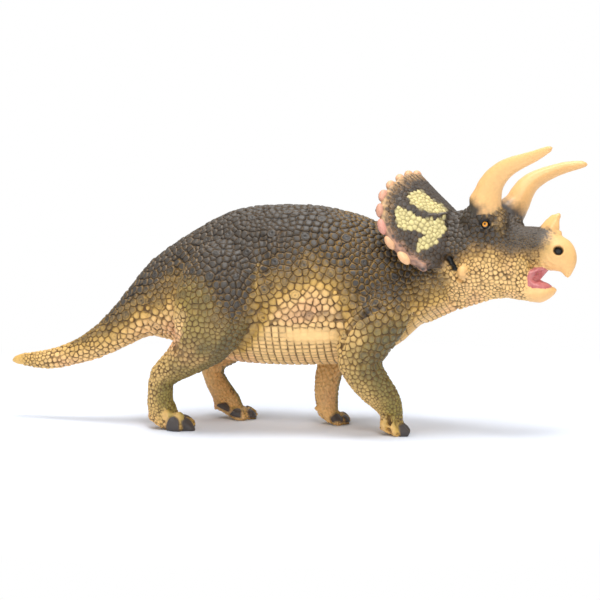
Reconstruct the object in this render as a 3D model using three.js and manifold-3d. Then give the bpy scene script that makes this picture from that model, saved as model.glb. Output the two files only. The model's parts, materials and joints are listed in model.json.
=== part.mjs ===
// A moulded vinyl toy of a three-horned, frilled dinosaur, caught in mid stride with its mouth open.
// The torso is a hollow shell in two halves. The tail, the four legs and the skull plug into it with
// keyed posts, and the frill, the horns, the lower jaw and the mouth lining are glued to the skull.
// Millimetres. +X runs towards the snout, +Y to the figure's left and +Z up, with the soles on z = 0.
import * as THREE from "three";
import { mergeVertices } from "three/addons/utils/BufferGeometryUtils.js";
import Module from "manifold-3d";

const wasm = await Module();
wasm.setup();

// Driving dimensions

const FIT = 0.35; // glue gap between two mouldings that touch
const OVERRUN = 1; // how far a cutting shape runs past what it cuts
const WELD = 1e-4; // vertices closer than this are one
const TAU = 2 * Math.PI;

const TORSO = {
  length: 108.3, // rump joint to the end of the neck
  height: 58, // belly to the top of the back
  width: 50, // across the ribs
  clearance: 22.4, // belly to the floor
  wall: 2.8,
  rings: 20,
  around: 22,
  cavityAround: 14,
};
const TAIL = { length: 53.5, sway: 5, rings: 12 };
const POST = { radius: 4, depth: 8, flatShare: 0.7, collar: 2.2, sides: 16 };
const SEAM_PIN = { radius: 1.1, length: 3.4, collar: 1.8, sides: 10 };
const HEAD = {
  length: 45.8, // back of the skull to the front of the beak
  height: 33.1,
  width: 25.3,
  yaw: -12, // degrees, turned to the figure's right
  roll: -13, // degrees, right side raised
  pitch: 0,
};
const HEAD_SEAT_SHARES = { along: 1.009, up: 0.718 }; // the skull's origin, in torso lengths and heights

// Rows of body sections, tail to neck: place along the torso, top, bottom and half width
const TORSO_SECTION_SHARES = [
  [0.0, 0.628, 0.155, 0.21],
  [0.093, 0.755, 0.12, 0.3],
  [0.185, 0.86, 0.06, 0.385],
  [0.278, 0.948, 0.012, 0.447],
  [0.37, 0.978, 0.0, 0.485],
  [0.463, 0.986, -0.004, 0.5],
  [0.556, 0.982, 0.0, 0.487],
  [0.648, 0.95, 0.01, 0.455],
  [0.74, 0.9, 0.045, 0.405],
  [0.83, 0.825, 0.135, 0.345],
  [0.92, 0.765, 0.285, 0.285],
  [1.0, 0.73, 0.35, 0.245],
];
// The same for the tail, with places as shares of the tail's length and its sway in the last column
const TAIL_SECTION_SHARES = [
  [1.0, -0.02, -0.04, 0.008, 1.0],
  [0.945, 0.013, -0.055, 0.038, 0.9],
  [0.796, 0.039, -0.075, 0.06, 0.65],
  [0.649, 0.073, -0.067, 0.077, 0.42],
  [0.503, 0.138, -0.032, 0.092, 0.24],
  [0.36, 0.236, 0.007, 0.113, 0.11],
  [0.218, 0.38, 0.064, 0.145, 0.03],
  [0.1, 0.515, 0.118, 0.178, 0.0],
];

// Rows of leg sections, hip to sole: forward, up and out from the hip's foot on the floor, then half
// length and half thickness, all as shares of the hip's height
const LEGS = {
  hind_leg_right: {
    side: -1,
    hipAlongShare: 0.276,
    hipUpShare: 0.6,
    sectionShares: [
      [0.03, 1.17, 0.24, 0.1, 0.06],
      [0.0, 1.02, 0.32, 0.235, 0.14],
      [-0.02, 0.855, 0.352, 0.265, 0.17],
      [-0.076, 0.685, 0.345, 0.245, 0.165],
      [-0.14, 0.557, 0.31, 0.19, 0.145],
      [-0.24, 0.455, 0.276, 0.128, 0.115],
      [-0.335, 0.385, 0.25, 0.1, 0.098],
      [-0.405, 0.317, 0.233, 0.087, 0.086],
      [-0.414, 0.248, 0.224, 0.082, 0.08],
      [-0.42, 0.167, 0.215, 0.084, 0.08],
      [-0.4, 0.086, 0.215, 0.1, 0.09],
      [-0.385, -0.04, 0.215, 0.11, 0.095],
    ],
    toes: { heading: -3, fan: [-44, -14, 14, 42], reachShare: 0.12, sizeShare: 0.052 },
  },
  hind_leg_left: {
    side: 1,
    hipAlongShare: 0.276,
    hipUpShare: 0.6,
    sectionShares: [
      [0.04, 1.17, 0.24, 0.1, 0.06],
      [0.02, 1.02, 0.32, 0.235, 0.14],
      [0.035, 0.855, 0.352, 0.255, 0.17],
      [0.05, 0.685, 0.35, 0.22, 0.165],
      [0.02, 0.56, 0.345, 0.165, 0.145],
      [-0.085, 0.45, 0.335, 0.115, 0.115],
      [-0.182, 0.36, 0.325, 0.085, 0.094],
      [-0.2, 0.285, 0.315, 0.072, 0.082],
      [-0.162, 0.21, 0.3, 0.072, 0.078],
      [-0.122, 0.145, 0.285, 0.08, 0.08],
      [-0.09, 0.075, 0.27, 0.098, 0.092],
      [-0.068, -0.04, 0.265, 0.108, 0.1],
    ],
    toes: { heading: -4, fan: [-46, -16, 12, 40], reachShare: 0.11, sizeShare: 0.048 },
  },
  fore_leg_right: {
    side: -1,
    hipAlongShare: 0.795,
    hipUpShare: 0.49,
    sectionShares: [
      [0.11, 1.12, 0.24, 0.1, 0.06],
      [0.06, 0.955, 0.31, 0.185, 0.125],
      [-0.03, 0.8, 0.365, 0.2, 0.16],
      [-0.11, 0.66, 0.37, 0.185, 0.155],
      [-0.15, 0.545, 0.362, 0.168, 0.145],
      [-0.122, 0.44, 0.345, 0.145, 0.125],
      [-0.055, 0.34, 0.32, 0.13, 0.112],
      [0.016, 0.25, 0.29, 0.11, 0.098],
      [0.05, 0.17, 0.265, 0.088, 0.085],
      [0.055, 0.095, 0.245, 0.082, 0.085],
      [0.052, -0.04, 0.24, 0.088, 0.092],
    ],
    toes: { heading: -6, fan: [-62, -22, 14, 50], reachShare: 0.074, sizeShare: 0.046 },
  },
  fore_leg_left: {
    side: 1,
    hipAlongShare: 0.795,
    hipUpShare: 0.49,
    sectionShares: [
      [0.08, 1.12, 0.24, 0.1, 0.06],
      [0.0, 0.955, 0.3, 0.18, 0.125],
      [-0.12, 0.8, 0.345, 0.19, 0.155],
      [-0.25, 0.67, 0.335, 0.165, 0.145],
      [-0.36, 0.55, 0.3, 0.135, 0.125],
      [-0.435, 0.44, 0.25, 0.105, 0.105],
      [-0.46, 0.335, 0.21, 0.097, 0.096],
      [-0.47, 0.25, 0.185, 0.09, 0.09],
      [-0.467, 0.165, 0.17, 0.085, 0.085],
      [-0.46, 0.09, 0.165, 0.08, 0.085],
      [-0.44, -0.04, 0.165, 0.086, 0.09],
    ],
    toes: { heading: 0, fan: [-50, -14, 20, 60], reachShare: 0.09, sizeShare: 0.046 },
  },
};
const LEG = { rings: 17, around: 12 };

// Helpers

const vec = (x, y, z) => new THREE.Vector3(x, y, z);
const radians = THREE.MathUtils.degToRad;

/** A closed manifold solid of a three.js geometry. */
function solidOf(geometry) {
  const bare = geometry.index ? geometry.toNonIndexed() : geometry.clone();
  for (const name of Object.keys(bare.attributes)) {
    if (name !== "position") bare.deleteAttribute(name);
  }
  const merged = mergeVertices(bare, WELD);
  return new wasm.Manifold(
    new wasm.Mesh({
      numProp: 3,
      vertProperties: new Float32Array(merged.attributes.position.array),
      triVerts: new Uint32Array(merged.index.array),
    }),
  );
}

/** A geometry of a manifold solid. */
function geometryOf(solid) {
  const mesh = solid.getMesh();
  const flat = new THREE.BufferGeometry();
  flat.setAttribute("position", new THREE.BufferAttribute(mesh.vertProperties, mesh.numProp));
  flat.setIndex(new THREE.BufferAttribute(mesh.triVerts, 1));
  const faceted = flat.toNonIndexed();
  faceted.computeVertexNormals();
  return faceted;
}

/** The largest connected body of a solid, without the crumbs that a cut can leave. */
function largest(solid) {
  return solid.decompose().reduce((a, b) => (a.volume() > b.volume() ? a : b));
}

/** A smooth column sampler: rows of numbers in, a function from 0..1 to a row out. */
function smoothRows(rows) {
  const columns = rows[0].map((_, c) =>
    new THREE.CatmullRomCurve3(
      rows.map((row, i) => vec(i, row[c], 0)),
      false,
      "catmullrom",
      0.5,
    ),
  );
  return (t) => columns.map((curve) => curve.getPoint(t).y);
}

/** One ring of a section: a rounded outline with its own half width, rise and drop. */
function ring(centre, side, top, halfWidth, rise, drop, count, squareness = 2) {
  return Array.from({ length: count }, (_, i) => {
    const angle = (TAU * i) / count;
    const c = Math.cos(angle);
    const s = Math.sin(angle);
    const across = Math.sign(c) * Math.abs(c) ** (2 / squareness) * halfWidth;
    const up = Math.sign(s) * Math.abs(s) ** (2 / squareness) * (s > 0 ? rise : drop);
    return centre.clone().addScaledVector(side, across).addScaledVector(top, up);
  });
}

/** A closed skin over rings of equal count, with a fan at each end. */
function skin(rings) {
  const count = rings[0].length;
  const points = rings.flat();
  const middle = (r) => r.reduce((sum, p) => sum.add(p), vec(0, 0, 0)).divideScalar(count);
  const first = points.push(middle(rings[0])) - 1;
  const last = points.push(middle(rings.at(-1))) - 1;
  const faces = [];
  for (let i = 0; i < count; i++) {
    const j = (i + 1) % count;
    for (let r = 0; r + 1 < rings.length; r++) {
      const a = r * count;
      const b = a + count;
      faces.push(a + i, a + j, b + j, a + i, b + j, b + i);
    }
    const end = (rings.length - 1) * count;
    faces.push(first, j, i, last, end + i, end + j);
  }
  const geometry = new THREE.BufferGeometry().setFromPoints(points);
  geometry.setIndex(faces);
  const solid = solidOf(geometry);
  if (solid.volume() > 0) return solid;
  for (let i = 0; i < faces.length; i += 3) [faces[i], faces[i + 1]] = [faces[i + 1], faces[i]];
  geometry.setIndex(faces);
  return solidOf(geometry);
}

/** Rings square to a smooth spine through rows of [x, y, z, half width, rise, drop]. */
function limb(rows, reference, rings, around, grow = 0) {
  const at = smoothRows(rows);
  const curve = new THREE.CatmullRomCurve3(
    rows.map(([x, y, z]) => vec(x, y, z)),
    false,
    "catmullrom",
    0.5,
  );
  return skin(
    Array.from({ length: rings }, (_, i) => {
      const t = i / (rings - 1);
      const [x, y, z, halfWidth, rise, drop] = at(t);
      const along = curve.getTangent(t);
      const side = reference.clone().cross(along).normalize();
      const top = along.clone().cross(side).normalize();
      return ring(vec(x, y, z), side, top, halfWidth + grow, rise + grow, drop + grow, around);
    }),
  );
}

const box = (low, high) =>
  solidOf(
    new THREE.BoxGeometry(high.x - low.x, high.y - low.y, high.z - low.z).translate(
      (low.x + high.x) / 2,
      (low.y + high.y) / 2,
      (low.z + high.z) / 2,
    ),
  );

/** An ellipsoid, turned by degrees about its own axes before it is placed. */
function egg(centre, radii, turn, detail) {
  const shape = new THREE.SphereGeometry(1, ...detail).scale(...radii);
  const angles = new THREE.Euler(...turn.map(radians));
  shape.applyMatrix4(new THREE.Matrix4().makeRotationFromEuler(angles));
  return solidOf(shape.translate(centre.x, centre.y, centre.z));
}

/** A keyed post or its bore: a round bar with one flat, from start along a direction. */
function keyedBar(start, direction, radius, length, sides) {
  const outline = new THREE.Shape();
  const flat = radius * POST.flatShare;
  const edge = Math.acos(POST.flatShare);
  outline.absarc(0, 0, radius, Math.PI / 2 + edge, Math.PI / 2 - edge + TAU, false);
  outline.lineTo(-radius * Math.sin(edge), flat);
  const make = { depth: length, bevelEnabled: false, curveSegments: sides };
  const shape = new THREE.ExtrudeGeometry(outline, make);
  const way = direction.clone().normalize();
  shape.applyQuaternion(new THREE.Quaternion().setFromUnitVectors(vec(0, 0, 1), way));
  return solidOf(shape.translate(start.x, start.y, start.z));
}

/** A plain round bar. */
function bar(start, direction, radius, length, sides) {
  const shape = new THREE.CylinderGeometry(radius, radius, length, sides);
  shape.translate(0, length / 2, 0);
  const way = direction.clone().normalize();
  shape.applyQuaternion(new THREE.Quaternion().setFromUnitVectors(vec(0, 1, 0), way));
  return solidOf(shape.translate(start.x, start.y, start.z));
}

// Trunk: one smooth skin from the tail's tip to the end of the neck, parted at the rump

const RUMP_X = -TORSO.length / 2;
const NECK_X = TORSO.length / 2;
const WIDEST_SHARE = 0.47; // how far up a section is widest
const SQUARENESS = 2.15; // 2 is an ellipse, more is boxier
const alongTorso = (share) => RUMP_X + share * TORSO.length;
const upTorso = (share) => TORSO.clearance + share * TORSO.height;

const trunkRows = [
  ...TAIL_SECTION_SHARES.map(([along, top, bottom, halfWidth, sway]) => [
    RUMP_X - along * TAIL.length,
    sway * TAIL.sway,
    upTorso(top),
    upTorso(bottom),
    halfWidth * TORSO.width,
  ]),
  ...TORSO_SECTION_SHARES.map(([along, top, bottom, halfWidth]) => [
    alongTorso(along),
    0,
    upTorso(top),
    upTorso(bottom),
    halfWidth * TORSO.width,
  ]),
];
const trunkAt = smoothRows(trunkRows);
const torsoAt = smoothRows(trunkRows.slice(TAIL_SECTION_SHARES.length));

/** The trunk's ring at one row of its table, grown outwards or, with a minus, inwards. */
function trunkRing([x, y, top, bottom, halfWidth], grow, around = TORSO.around) {
  const widest = bottom + WIDEST_SHARE * (top - bottom);
  const rise = top - widest + grow;
  const drop = widest - bottom + grow;
  const middle = vec(x, y, widest);
  const half = halfWidth + grow;
  return ring(middle, vec(0, 1, 0), vec(0, 0, 1), half, rise, drop, around, SQUARENESS);
}

/** The whole trunk from tail tip to neck, grown by a gap where it cuts its neighbours. */
function trunk(grow) {
  const count = TORSO.rings + TAIL.rings;
  const rings = Array.from({ length: count }, (_, i) => trunkRing(trunkAt(i / (count - 1)), grow));
  return skin(rings);
}

const CAVITY_SHARES = { start: 0.11, end: 0.84, endTaper: 0.55, rings: 9 };

/** The hollow inside the torso, one wall in from the skin and rounded off at both ends. */
function torsoCavity() {
  const { start, end, endTaper, rings } = CAVITY_SHARES;
  const sections = Array.from({ length: rings }, (_, i) => {
    const t = i / (rings - 1);
    const row = torsoAt(start + t * (end - start));
    const closing = i === 0 || i === rings - 1 ? endTaper : 1;
    const middle = (row[2] + row[3]) / 2;
    const shrink = (z) => middle + (z - middle) * closing;
    const closed = [row[0], row[1], shrink(row[2]), shrink(row[3]), row[4] * closing];
    return trunkRing(closed, -TORSO.wall, TORSO.cavityAround);
  });
  return skin(sections);
}

const farLow = vec(-2 * TORSO.length, -2 * TORSO.width, -TORSO.height);
const farHigh = vec(2 * TORSO.length, 2 * TORSO.width, 4 * TORSO.height);
const trunkSkin = trunk(0);
const trunkCutter = trunk(FIT);
const aheadOfRump = box(vec(RUMP_X, farLow.y, farLow.z), farHigh);
const behindRump = box(farLow, vec(RUMP_X - FIT, farHigh.y, farHigh.z));
const underFloor = box(farLow, vec(farHigh.x, farHigh.y, 0));

// Posts that plug the limbs, the tail and the skull into the torso

const TAIL_POST = { radius: 5, depth: 9 };
const HEAD_POST = { radius: 5.5, depth: 13, upShare: 0.53, rootDepth: 4 };
const midTail = upTorso((TORSO_SECTION_SHARES[0][1] + TORSO_SECTION_SHARES[0][2]) / 2);

/** Where a leg's post meets its thigh, at the flank, and the way it points into the torso. */
function legPost({ side, hipAlongShare, hipUpShare }) {
  const halfWidth = torsoAt(hipAlongShare)[4];
  return {
    start: vec(alongTorso(hipAlongShare), side * halfWidth, upTorso(hipUpShare)),
    direction: vec(0, -side, 0),
    radius: POST.radius,
    length: TORSO.wall + POST.depth,
  };
}

const tailPost = {
  start: vec(RUMP_X - FIT - OVERRUN, 0, midTail),
  direction: vec(1, 0, 0),
  radius: TAIL_POST.radius,
  length: FIT + OVERRUN + TAIL_POST.depth,
};
const headPost = {
  start: vec(NECK_X + HEAD_POST.rootDepth, 0, upTorso(HEAD_POST.upShare)),
  direction: vec(-1, 0, 0),
  radius: HEAD_POST.radius,
  length: HEAD_POST.rootDepth + HEAD_POST.depth,
};
const postSolid = ({ start, direction, radius, length }) =>
  keyedBar(start, direction, radius, length, POST.sides);
const postBore = ({ start, direction, radius, length }) =>
  keyedBar(
    start.clone().addScaledVector(direction, -OVERRUN),
    direction,
    radius + FIT,
    length + OVERRUN + FIT,
    POST.sides,
  );

// Torso: two hollow halves with a collar round each leg's bore and pins across the seam

const SEAM_PIN_SHARES = [
  [0.2, "top"],
  [0.69, "top"],
  [0.33, "bottom"],
  [0.66, "bottom"],
];

/** The middle of a seam pin, just inside the torso's top or bottom skin. */
function seamPinPlace([along, edge]) {
  const row = torsoAt(along);
  const inset = SEAM_PIN.radius + SEAM_PIN.collar;
  return vec(row[0], 0, edge === "top" ? row[2] - inset : row[3] + inset);
}

function torsoHalves() {
  const hips = Object.values(LEGS).map(legPost);
  const collars = hips.map(({ start, direction, radius, length }) =>
    bar(start, direction, radius + FIT + POST.collar, length, POST.sides),
  );
  const pinCollars = SEAM_PIN_SHARES.map((row) => {
    const middle = seamPinPlace(row);
    const reach = SEAM_PIN.length + SEAM_PIN.collar;
    return bar(
      middle.clone().setY(-reach),
      vec(0, 1, 0),
      SEAM_PIN.radius + SEAM_PIN.collar,
      2 * reach,
      SEAM_PIN.sides,
    );
  });
  const inside = [...collars, ...pinCollars].reduce((sum, one) => sum.add(one));
  let shell = trunkSkin.intersect(aheadOfRump);
  shell = shell.subtract(torsoCavity()).add(inside.intersect(trunkSkin));
  for (const post of [...hips, tailPost, headPost]) shell = shell.subtract(postBore(post));
  let right = largest(shell.intersect(box(farLow, vec(farHigh.x, -FIT / 2, farHigh.z))));
  let left = largest(shell.intersect(box(vec(farLow.x, FIT / 2, farLow.z), farHigh)));
  for (const row of SEAM_PIN_SHARES) {
    const foot = seamPinPlace(row).setY(-SEAM_PIN.length / 2);
    const across = vec(0, 1, 0);
    right = right.add(bar(foot, across, SEAM_PIN.radius, SEAM_PIN.length, SEAM_PIN.sides));
    left = left.subtract(
      bar(foot, across, SEAM_PIN.radius + FIT, SEAM_PIN.length + FIT, SEAM_PIN.sides),
    );
  }
  return { right, left };
}

// Tail: the trunk's skin behind the rump, with its own post

function tailSolid() {
  return trunkSkin.intersect(behindRump).add(postSolid(tailPost));
}

// Legs: a smooth limb, toes fanned out round the sole, and the post

// A toe's half sizes and the height of its middle, as shares of the toe's size, and its tilt
const TOE = {
  lengthShare: 1.35,
  spreadShare: 0.9,
  heightShare: 0.95,
  middleShare: 0.57,
  tilt: 8, // degrees, tip down
  detail: [8, 6],
};

/** One leg: its limb and toes, cut off flat at the floor and fitted against the trunk. */
function legSolid(leg) {
  const hipHeight = upTorso(leg.hipUpShare);
  const foot = vec(alongTorso(leg.hipAlongShare), 0, 0);
  const place = ([forward, up, out]) =>
    vec(foot.x + forward * hipHeight, leg.side * out * hipHeight, up * hipHeight);
  const rows = leg.sectionShares.map((row) => {
    const { x, y, z } = place(row);
    const [, , , halfLength, halfThickness] = row;
    return [x, y, z, halfThickness * hipHeight, halfLength * hipHeight, halfLength * hipHeight];
  });
  let solid = limb(rows, vec(1, 0, 0), LEG.rings, LEG.around);
  const sole = place(leg.sectionShares.at(-1));
  for (const angle of leg.toes.fan) {
    const turn = leg.toes.heading + leg.side * angle;
    const way = vec(Math.cos(radians(turn)), Math.sin(radians(turn)), 0);
    const size = leg.toes.sizeShare * hipHeight;
    const centre = sole.clone().addScaledVector(way, leg.toes.reachShare * hipHeight);
    centre.z = size * TOE.middleShare;
    const radii = [TOE.lengthShare, TOE.spreadShare, TOE.heightShare].map((share) => share * size);
    solid = solid.add(egg(centre, radii, [0, TOE.tilt, turn], TOE.detail));
  }
  const cut = solid.subtract(trunkCutter).subtract(underFloor);
  return largest(cut).add(postSolid(legPost(leg)));
}

// Head, in its own frame: origin at the back of the skull, +X to the beak, +Z up

const headPlace = vec(
  alongTorso(HEAD_SEAT_SHARES.along),
  0,
  upTorso(HEAD_SEAT_SHARES.up),
);
const headTurn = new THREE.Euler(radians(HEAD.roll), radians(-HEAD.pitch), radians(HEAD.yaw), "ZYX");
const headToWorld = new THREE.Matrix4().compose(
  headPlace,
  new THREE.Quaternion().setFromEuler(headTurn),
  vec(1, 1, 1),
);
const worldToHead = headToWorld.clone().invert();
const moved = (solid, matrix) => solidOf(geometryOf(solid).applyMatrix4(matrix));
const inHead = ([x, y, z]) => vec(x * HEAD.length, y * HEAD.width, z * HEAD.height);

// Rows of head sections: top along and up, foot along and up, and half width, as shares of the head
const FACE_SECTION_SHARES = [
  [-0.175, 0.29, -0.13, -0.48, 0.395],
  [-0.066, 0.387, -0.022, -0.56, 0.466],
  [0.044, 0.441, 0.066, -0.574, 0.498],
  [0.175, 0.453, 0.175, -0.553, 0.506],
  [0.306, 0.429, 0.306, -0.52, 0.474],
  [0.415, 0.369, 0.415, -0.495, 0.419],
  [0.524, 0.29, 0.513, -0.486, 0.364],
  [0.605, 0.25, 0.59, -0.492, 0.308],
  [0.645, 0.15, 0.618, -0.438, 0.237],
];
const SNOUT_SECTION_SHARES = [
  [0.262, 0.3, 0.262, -0.09, 0.356],
  [0.48, 0.278, 0.48, -0.136, 0.324],
  [0.633, 0.284, 0.633, -0.166, 0.27],
  [0.742, 0.239, 0.731, -0.18, 0.233],
  [0.83, 0.196, 0.799, -0.184, 0.206],
  [0.904, 0.142, 0.828, -0.187, 0.178],
  [0.948, 0.06, 0.845, -0.19, 0.15],
  [0.967, -0.03, 0.858, -0.196, 0.119],
  [0.961, -0.121, 0.869, -0.208, 0.087],
  [0.939, -0.193, 0.88, -0.23, 0.055],
  [0.921, -0.248, 0.9, -0.254, 0.02],
];
const JAW_SECTION_SHARES = [
  [0.437, -0.363, 0.437, -0.492, 0.261],
  [0.557, -0.369, 0.546, -0.502, 0.249],
  [0.644, -0.369, 0.627, -0.514, 0.225],
  [0.72, -0.372, 0.707, -0.523, 0.182],
  [0.786, -0.369, 0.775, -0.471, 0.119],
  [0.821, -0.356, 0.817, -0.42, 0.051],
  [0.83, -0.369, 0.83, -0.387, 0.016],
];
// The mouth's lining, palate to tongue: spine along and up, then half width, rise and drop
const LINING_SECTION_SHARES = [
  [0.74, -0.2, 0.12, 0.03, 0.03],
  [0.69, -0.2, 0.17, 0.04, 0.04],
  [0.65, -0.235, 0.2, 0.045, 0.045],
  [0.638, -0.295, 0.21, 0.045, 0.045],
  [0.665, -0.35, 0.2, 0.045, 0.045],
  [0.73, -0.365, 0.16, 0.045, 0.045],
  [0.79, -0.358, 0.08, 0.03, 0.03],
];
const HEAD_RINGS = { face: 12, snout: 15, jaw: 9, lining: 10, around: 16, thinAround: 10 };
const HEAD_WIDEST_SHARE = 0.52; // how far up a head section is widest

/** Head sections that each stand on a foot point and lean towards a top point. */
function headForm(rows, rings, grow = 0, around = HEAD_RINGS.around) {
  const at = smoothRows(rows);
  return skin(
    Array.from({ length: rings }, (_, i) => {
      const [topAlong, topUp, footAlong, footUp, halfWidth] = at(i / (rings - 1));
      const top = inHead([topAlong, 0, topUp]);
      const foot = inHead([footAlong, 0, footUp]);
      const widest = foot.clone().lerp(top, HEAD_WIDEST_SHARE);
      return ring(
        widest,
        vec(0, 1, 0),
        top.clone().sub(foot).normalize(),
        halfWidth * HEAD.width + grow,
        top.distanceTo(widest) + grow,
        foot.distanceTo(widest) + grow,
        around,
      );
    }),
  );
}

function liningForm() {
  const rows = LINING_SECTION_SHARES.map(([along, up, halfWidth, rise, drop]) => [
    along * HEAD.length,
    0,
    up * HEAD.height,
    halfWidth * HEAD.width,
    rise * HEAD.height,
    drop * HEAD.height,
  ]);
  return limb(rows, vec(0, 0, 1), HEAD_RINGS.lining, HEAD_RINGS.thinAround);
}

const BROW = {
  atShares: [0.29, 0.36, 0.31],
  length: 18,
  width: 11,
  height: 12,
  detail: [12, 8],
};
const CHEEK_KNOB = {
  atShares: [0.174, 0.5, -0.289],
  length: 4.6,
  width: 4,
  height: 5,
  detail: [8, 6],
};

/** The skull without its post: face, snout, brow bosses and cheek knobs. */
function skullForm(grow) {
  let solid = headForm(FACE_SECTION_SHARES, HEAD_RINGS.face, grow);
  solid = solid.add(headForm(SNOUT_SECTION_SHARES, HEAD_RINGS.snout, grow));
  for (const side of [-1, 1]) {
    for (const { atShares, length, width, height, detail } of [BROW, CHEEK_KNOB]) {
      const [along, out, up] = atShares;
      const grown = [length, width, height].map((size) => size / 2 + grow);
      solid = solid.add(egg(inHead([along, side * out, up]), grown, [0, 0, 0], detail));
    }
  }
  return solid;
}

// Horns: curved and round, each seated on the skull with a short peg. Rows: along, out, up, thickness

const BROW_HORNS = {
  brow_horn_right: {
    side: -1,
    sectionShares: [
      [0.29, 0.25, 0.25, 0.12],
      [0.286, 0.419, 0.411, 0.24],
      [0.318, 0.49, 0.551, 0.198],
      [0.347, 0.53, 0.657, 0.174],
      [0.406, 0.569, 0.751, 0.15],
      [0.476, 0.605, 0.822, 0.13],
      [0.579, 0.644, 0.88, 0.103],
      [0.695, 0.684, 0.937, 0.079],
      [0.8, 0.718, 1.003, 0.05],
      [0.831, 0.727, 1.024, 0.02],
    ],
  },
  brow_horn_left: {
    side: 1,
    sectionShares: [
      [0.29, 0.25, 0.25, 0.12],
      [0.313, 0.419, 0.407, 0.24],
      [0.385, 0.49, 0.577, 0.184],
      [0.417, 0.53, 0.708, 0.164],
      [0.463, 0.569, 0.807, 0.14],
      [0.526, 0.605, 0.878, 0.12],
      [0.62, 0.644, 0.948, 0.096],
      [0.74, 0.684, 1.011, 0.079],
      [0.855, 0.718, 1.043, 0.05],
      [0.884, 0.727, 1.047, 0.02],
    ],
  },
};
const NOSE_HORN = {
  side: 0,
  sectionShares: [
    [0.72, 0, 0.17, 0.13],
    [0.735, 0, 0.24, 0.125],
    [0.757, 0, 0.305, 0.092],
    [0.779, 0, 0.36, 0.058],
    [0.794, 0, 0.4, 0.033],
    [0.8, 0, 0.413, 0.014],
  ],
};
const BROW_HORN_MAKE = { pegRadius: 2.2, pegLength: 1, rings: 14, around: 12, flatShare: 1 };
const NOSE_HORN_MAKE = { pegRadius: 1.1, pegLength: 2, rings: 9, around: 12, flatShare: 0.62 };

/** A horn seated on the skull, and the bore that its peg takes there. */
function hornSolid({ side, sectionShares }, make, seat) {
  const rows = sectionShares.map(([along, out, up, thick]) => {
    const centre = inHead([along, side * out, up]);
    const half = thick * HEAD.width;
    return [centre.x, centre.y, centre.z, half * make.flatShare, half, half];
  });
  const outside = limb(rows, vec(1, 0, 0), make.rings, make.around);
  const [foot, , root] = rows.map((row) => vec(...row.slice(0, 3)));
  const down = foot.clone().sub(root).normalize();
  const length = make.pegLength + root.distanceTo(foot);
  const peg = bar(root, down, make.pegRadius, length, make.around);
  return {
    solid: largest(outside.subtract(seat)).add(peg),
    bore: bar(root, down, make.pegRadius + FIT, length + FIT, make.around),
  };
}

// Frill: a flared plate round the back of the skull, with a rim of blunt knobs

const FRILL = {
  stations: 27,
  across: 4,
  rootThickness: 3.6,
  rimThickness: 2.4,
  knobs: 19,
  knobLength: 4.2, // along the rim
  knobWidth: 3.8, // outwards from it
  knobThickness: 3,
  knobDetail: [6, 5],
};
// Rows from the crest down one side: root along, out and up, then rim along, out and up
const FRILL_EDGE_SHARES = [
  [-0.06, 0.0, 0.4, -0.352, 0.0, 0.792],
  [-0.05, 0.14, 0.39, -0.368, 0.26, 0.758],
  [-0.04, 0.26, 0.34, -0.39, 0.5, 0.69],
  [-0.03, 0.36, 0.27, -0.414, 0.73, 0.585],
  [-0.02, 0.43, 0.17, -0.428, 0.93, 0.45],
  [-0.01, 0.46, 0.07, -0.42, 1.045, 0.28],
  [0.0, 0.47, -0.02, -0.385, 1.08, 0.11],
  [0.005, 0.46, -0.09, -0.318, 1.05, -0.055],
  [0.01, 0.44, -0.15, -0.215, 0.98, -0.2],
  [0.01, 0.41, -0.2, -0.08, 0.86, -0.282],
];
const frillRow = smoothRows(FRILL_EDGE_SHARES);

/** The frill's root and rim points, from -1 at its right corner over the crest to 1 at its left. */
function frillEdges(around) {
  const [rootAlong, rootOut, rootUp, rimAlong, rimOut, rimUp] = frillRow(Math.min(1, Math.abs(around)));
  const side = Math.sign(around);
  return {
    root: inHead([rootAlong, side * rootOut, rootUp]),
    rim: inHead([rimAlong, side * rimOut, rimUp]),
  };
}

/** The way along the frill's rim at a place, towards its left corner. */
function frillCourse(around) {
  const step = 1 / FRILL.stations;
  const low = Math.max(-1, around - step);
  const high = Math.min(1, around + step);
  return frillEdges(high).rim.sub(frillEdges(low).rim).normalize();
}

function frillForm() {
  const rings = Array.from({ length: FRILL.stations }, (_, i) => {
    const around = (2 * i) / (FRILL.stations - 1) - 1;
    const { root, rim } = frillEdges(around);
    const reach = rim.clone().sub(root);
    const forward = reach.clone().cross(frillCourse(around)).normalize();
    const front = [];
    const back = [];
    for (let k = 0; k <= FRILL.across; k++) {
      const share = k / FRILL.across;
      const middle = root.clone().addScaledVector(reach, share);
      const half = (FRILL.rootThickness + (FRILL.rimThickness - FRILL.rootThickness) * share) / 2;
      front.push(middle.clone().addScaledVector(forward, half));
      back.unshift(middle.clone().addScaledVector(forward, -half));
    }
    return [...front, ...back];
  });
  let solid = skin(rings);
  for (let i = 0; i < FRILL.knobs; i++) {
    const around = (2 * i) / (FRILL.knobs - 1) - 1;
    const { root, rim } = frillEdges(around);
    const course = frillCourse(around);
    const forward = rim.clone().sub(root).cross(course).normalize();
    const axes = new THREE.Matrix4().makeBasis(course, forward.clone().cross(course), forward);
    const knob = new THREE.SphereGeometry(1, ...FRILL.knobDetail);
    knob.scale(FRILL.knobLength / 2, FRILL.knobWidth / 2, FRILL.knobThickness / 2);
    knob.applyMatrix4(axes).translate(rim.x, rim.y, rim.z);
    solid = solid.add(solidOf(knob));
  }
  return solid;
}

// Assembly

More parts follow.
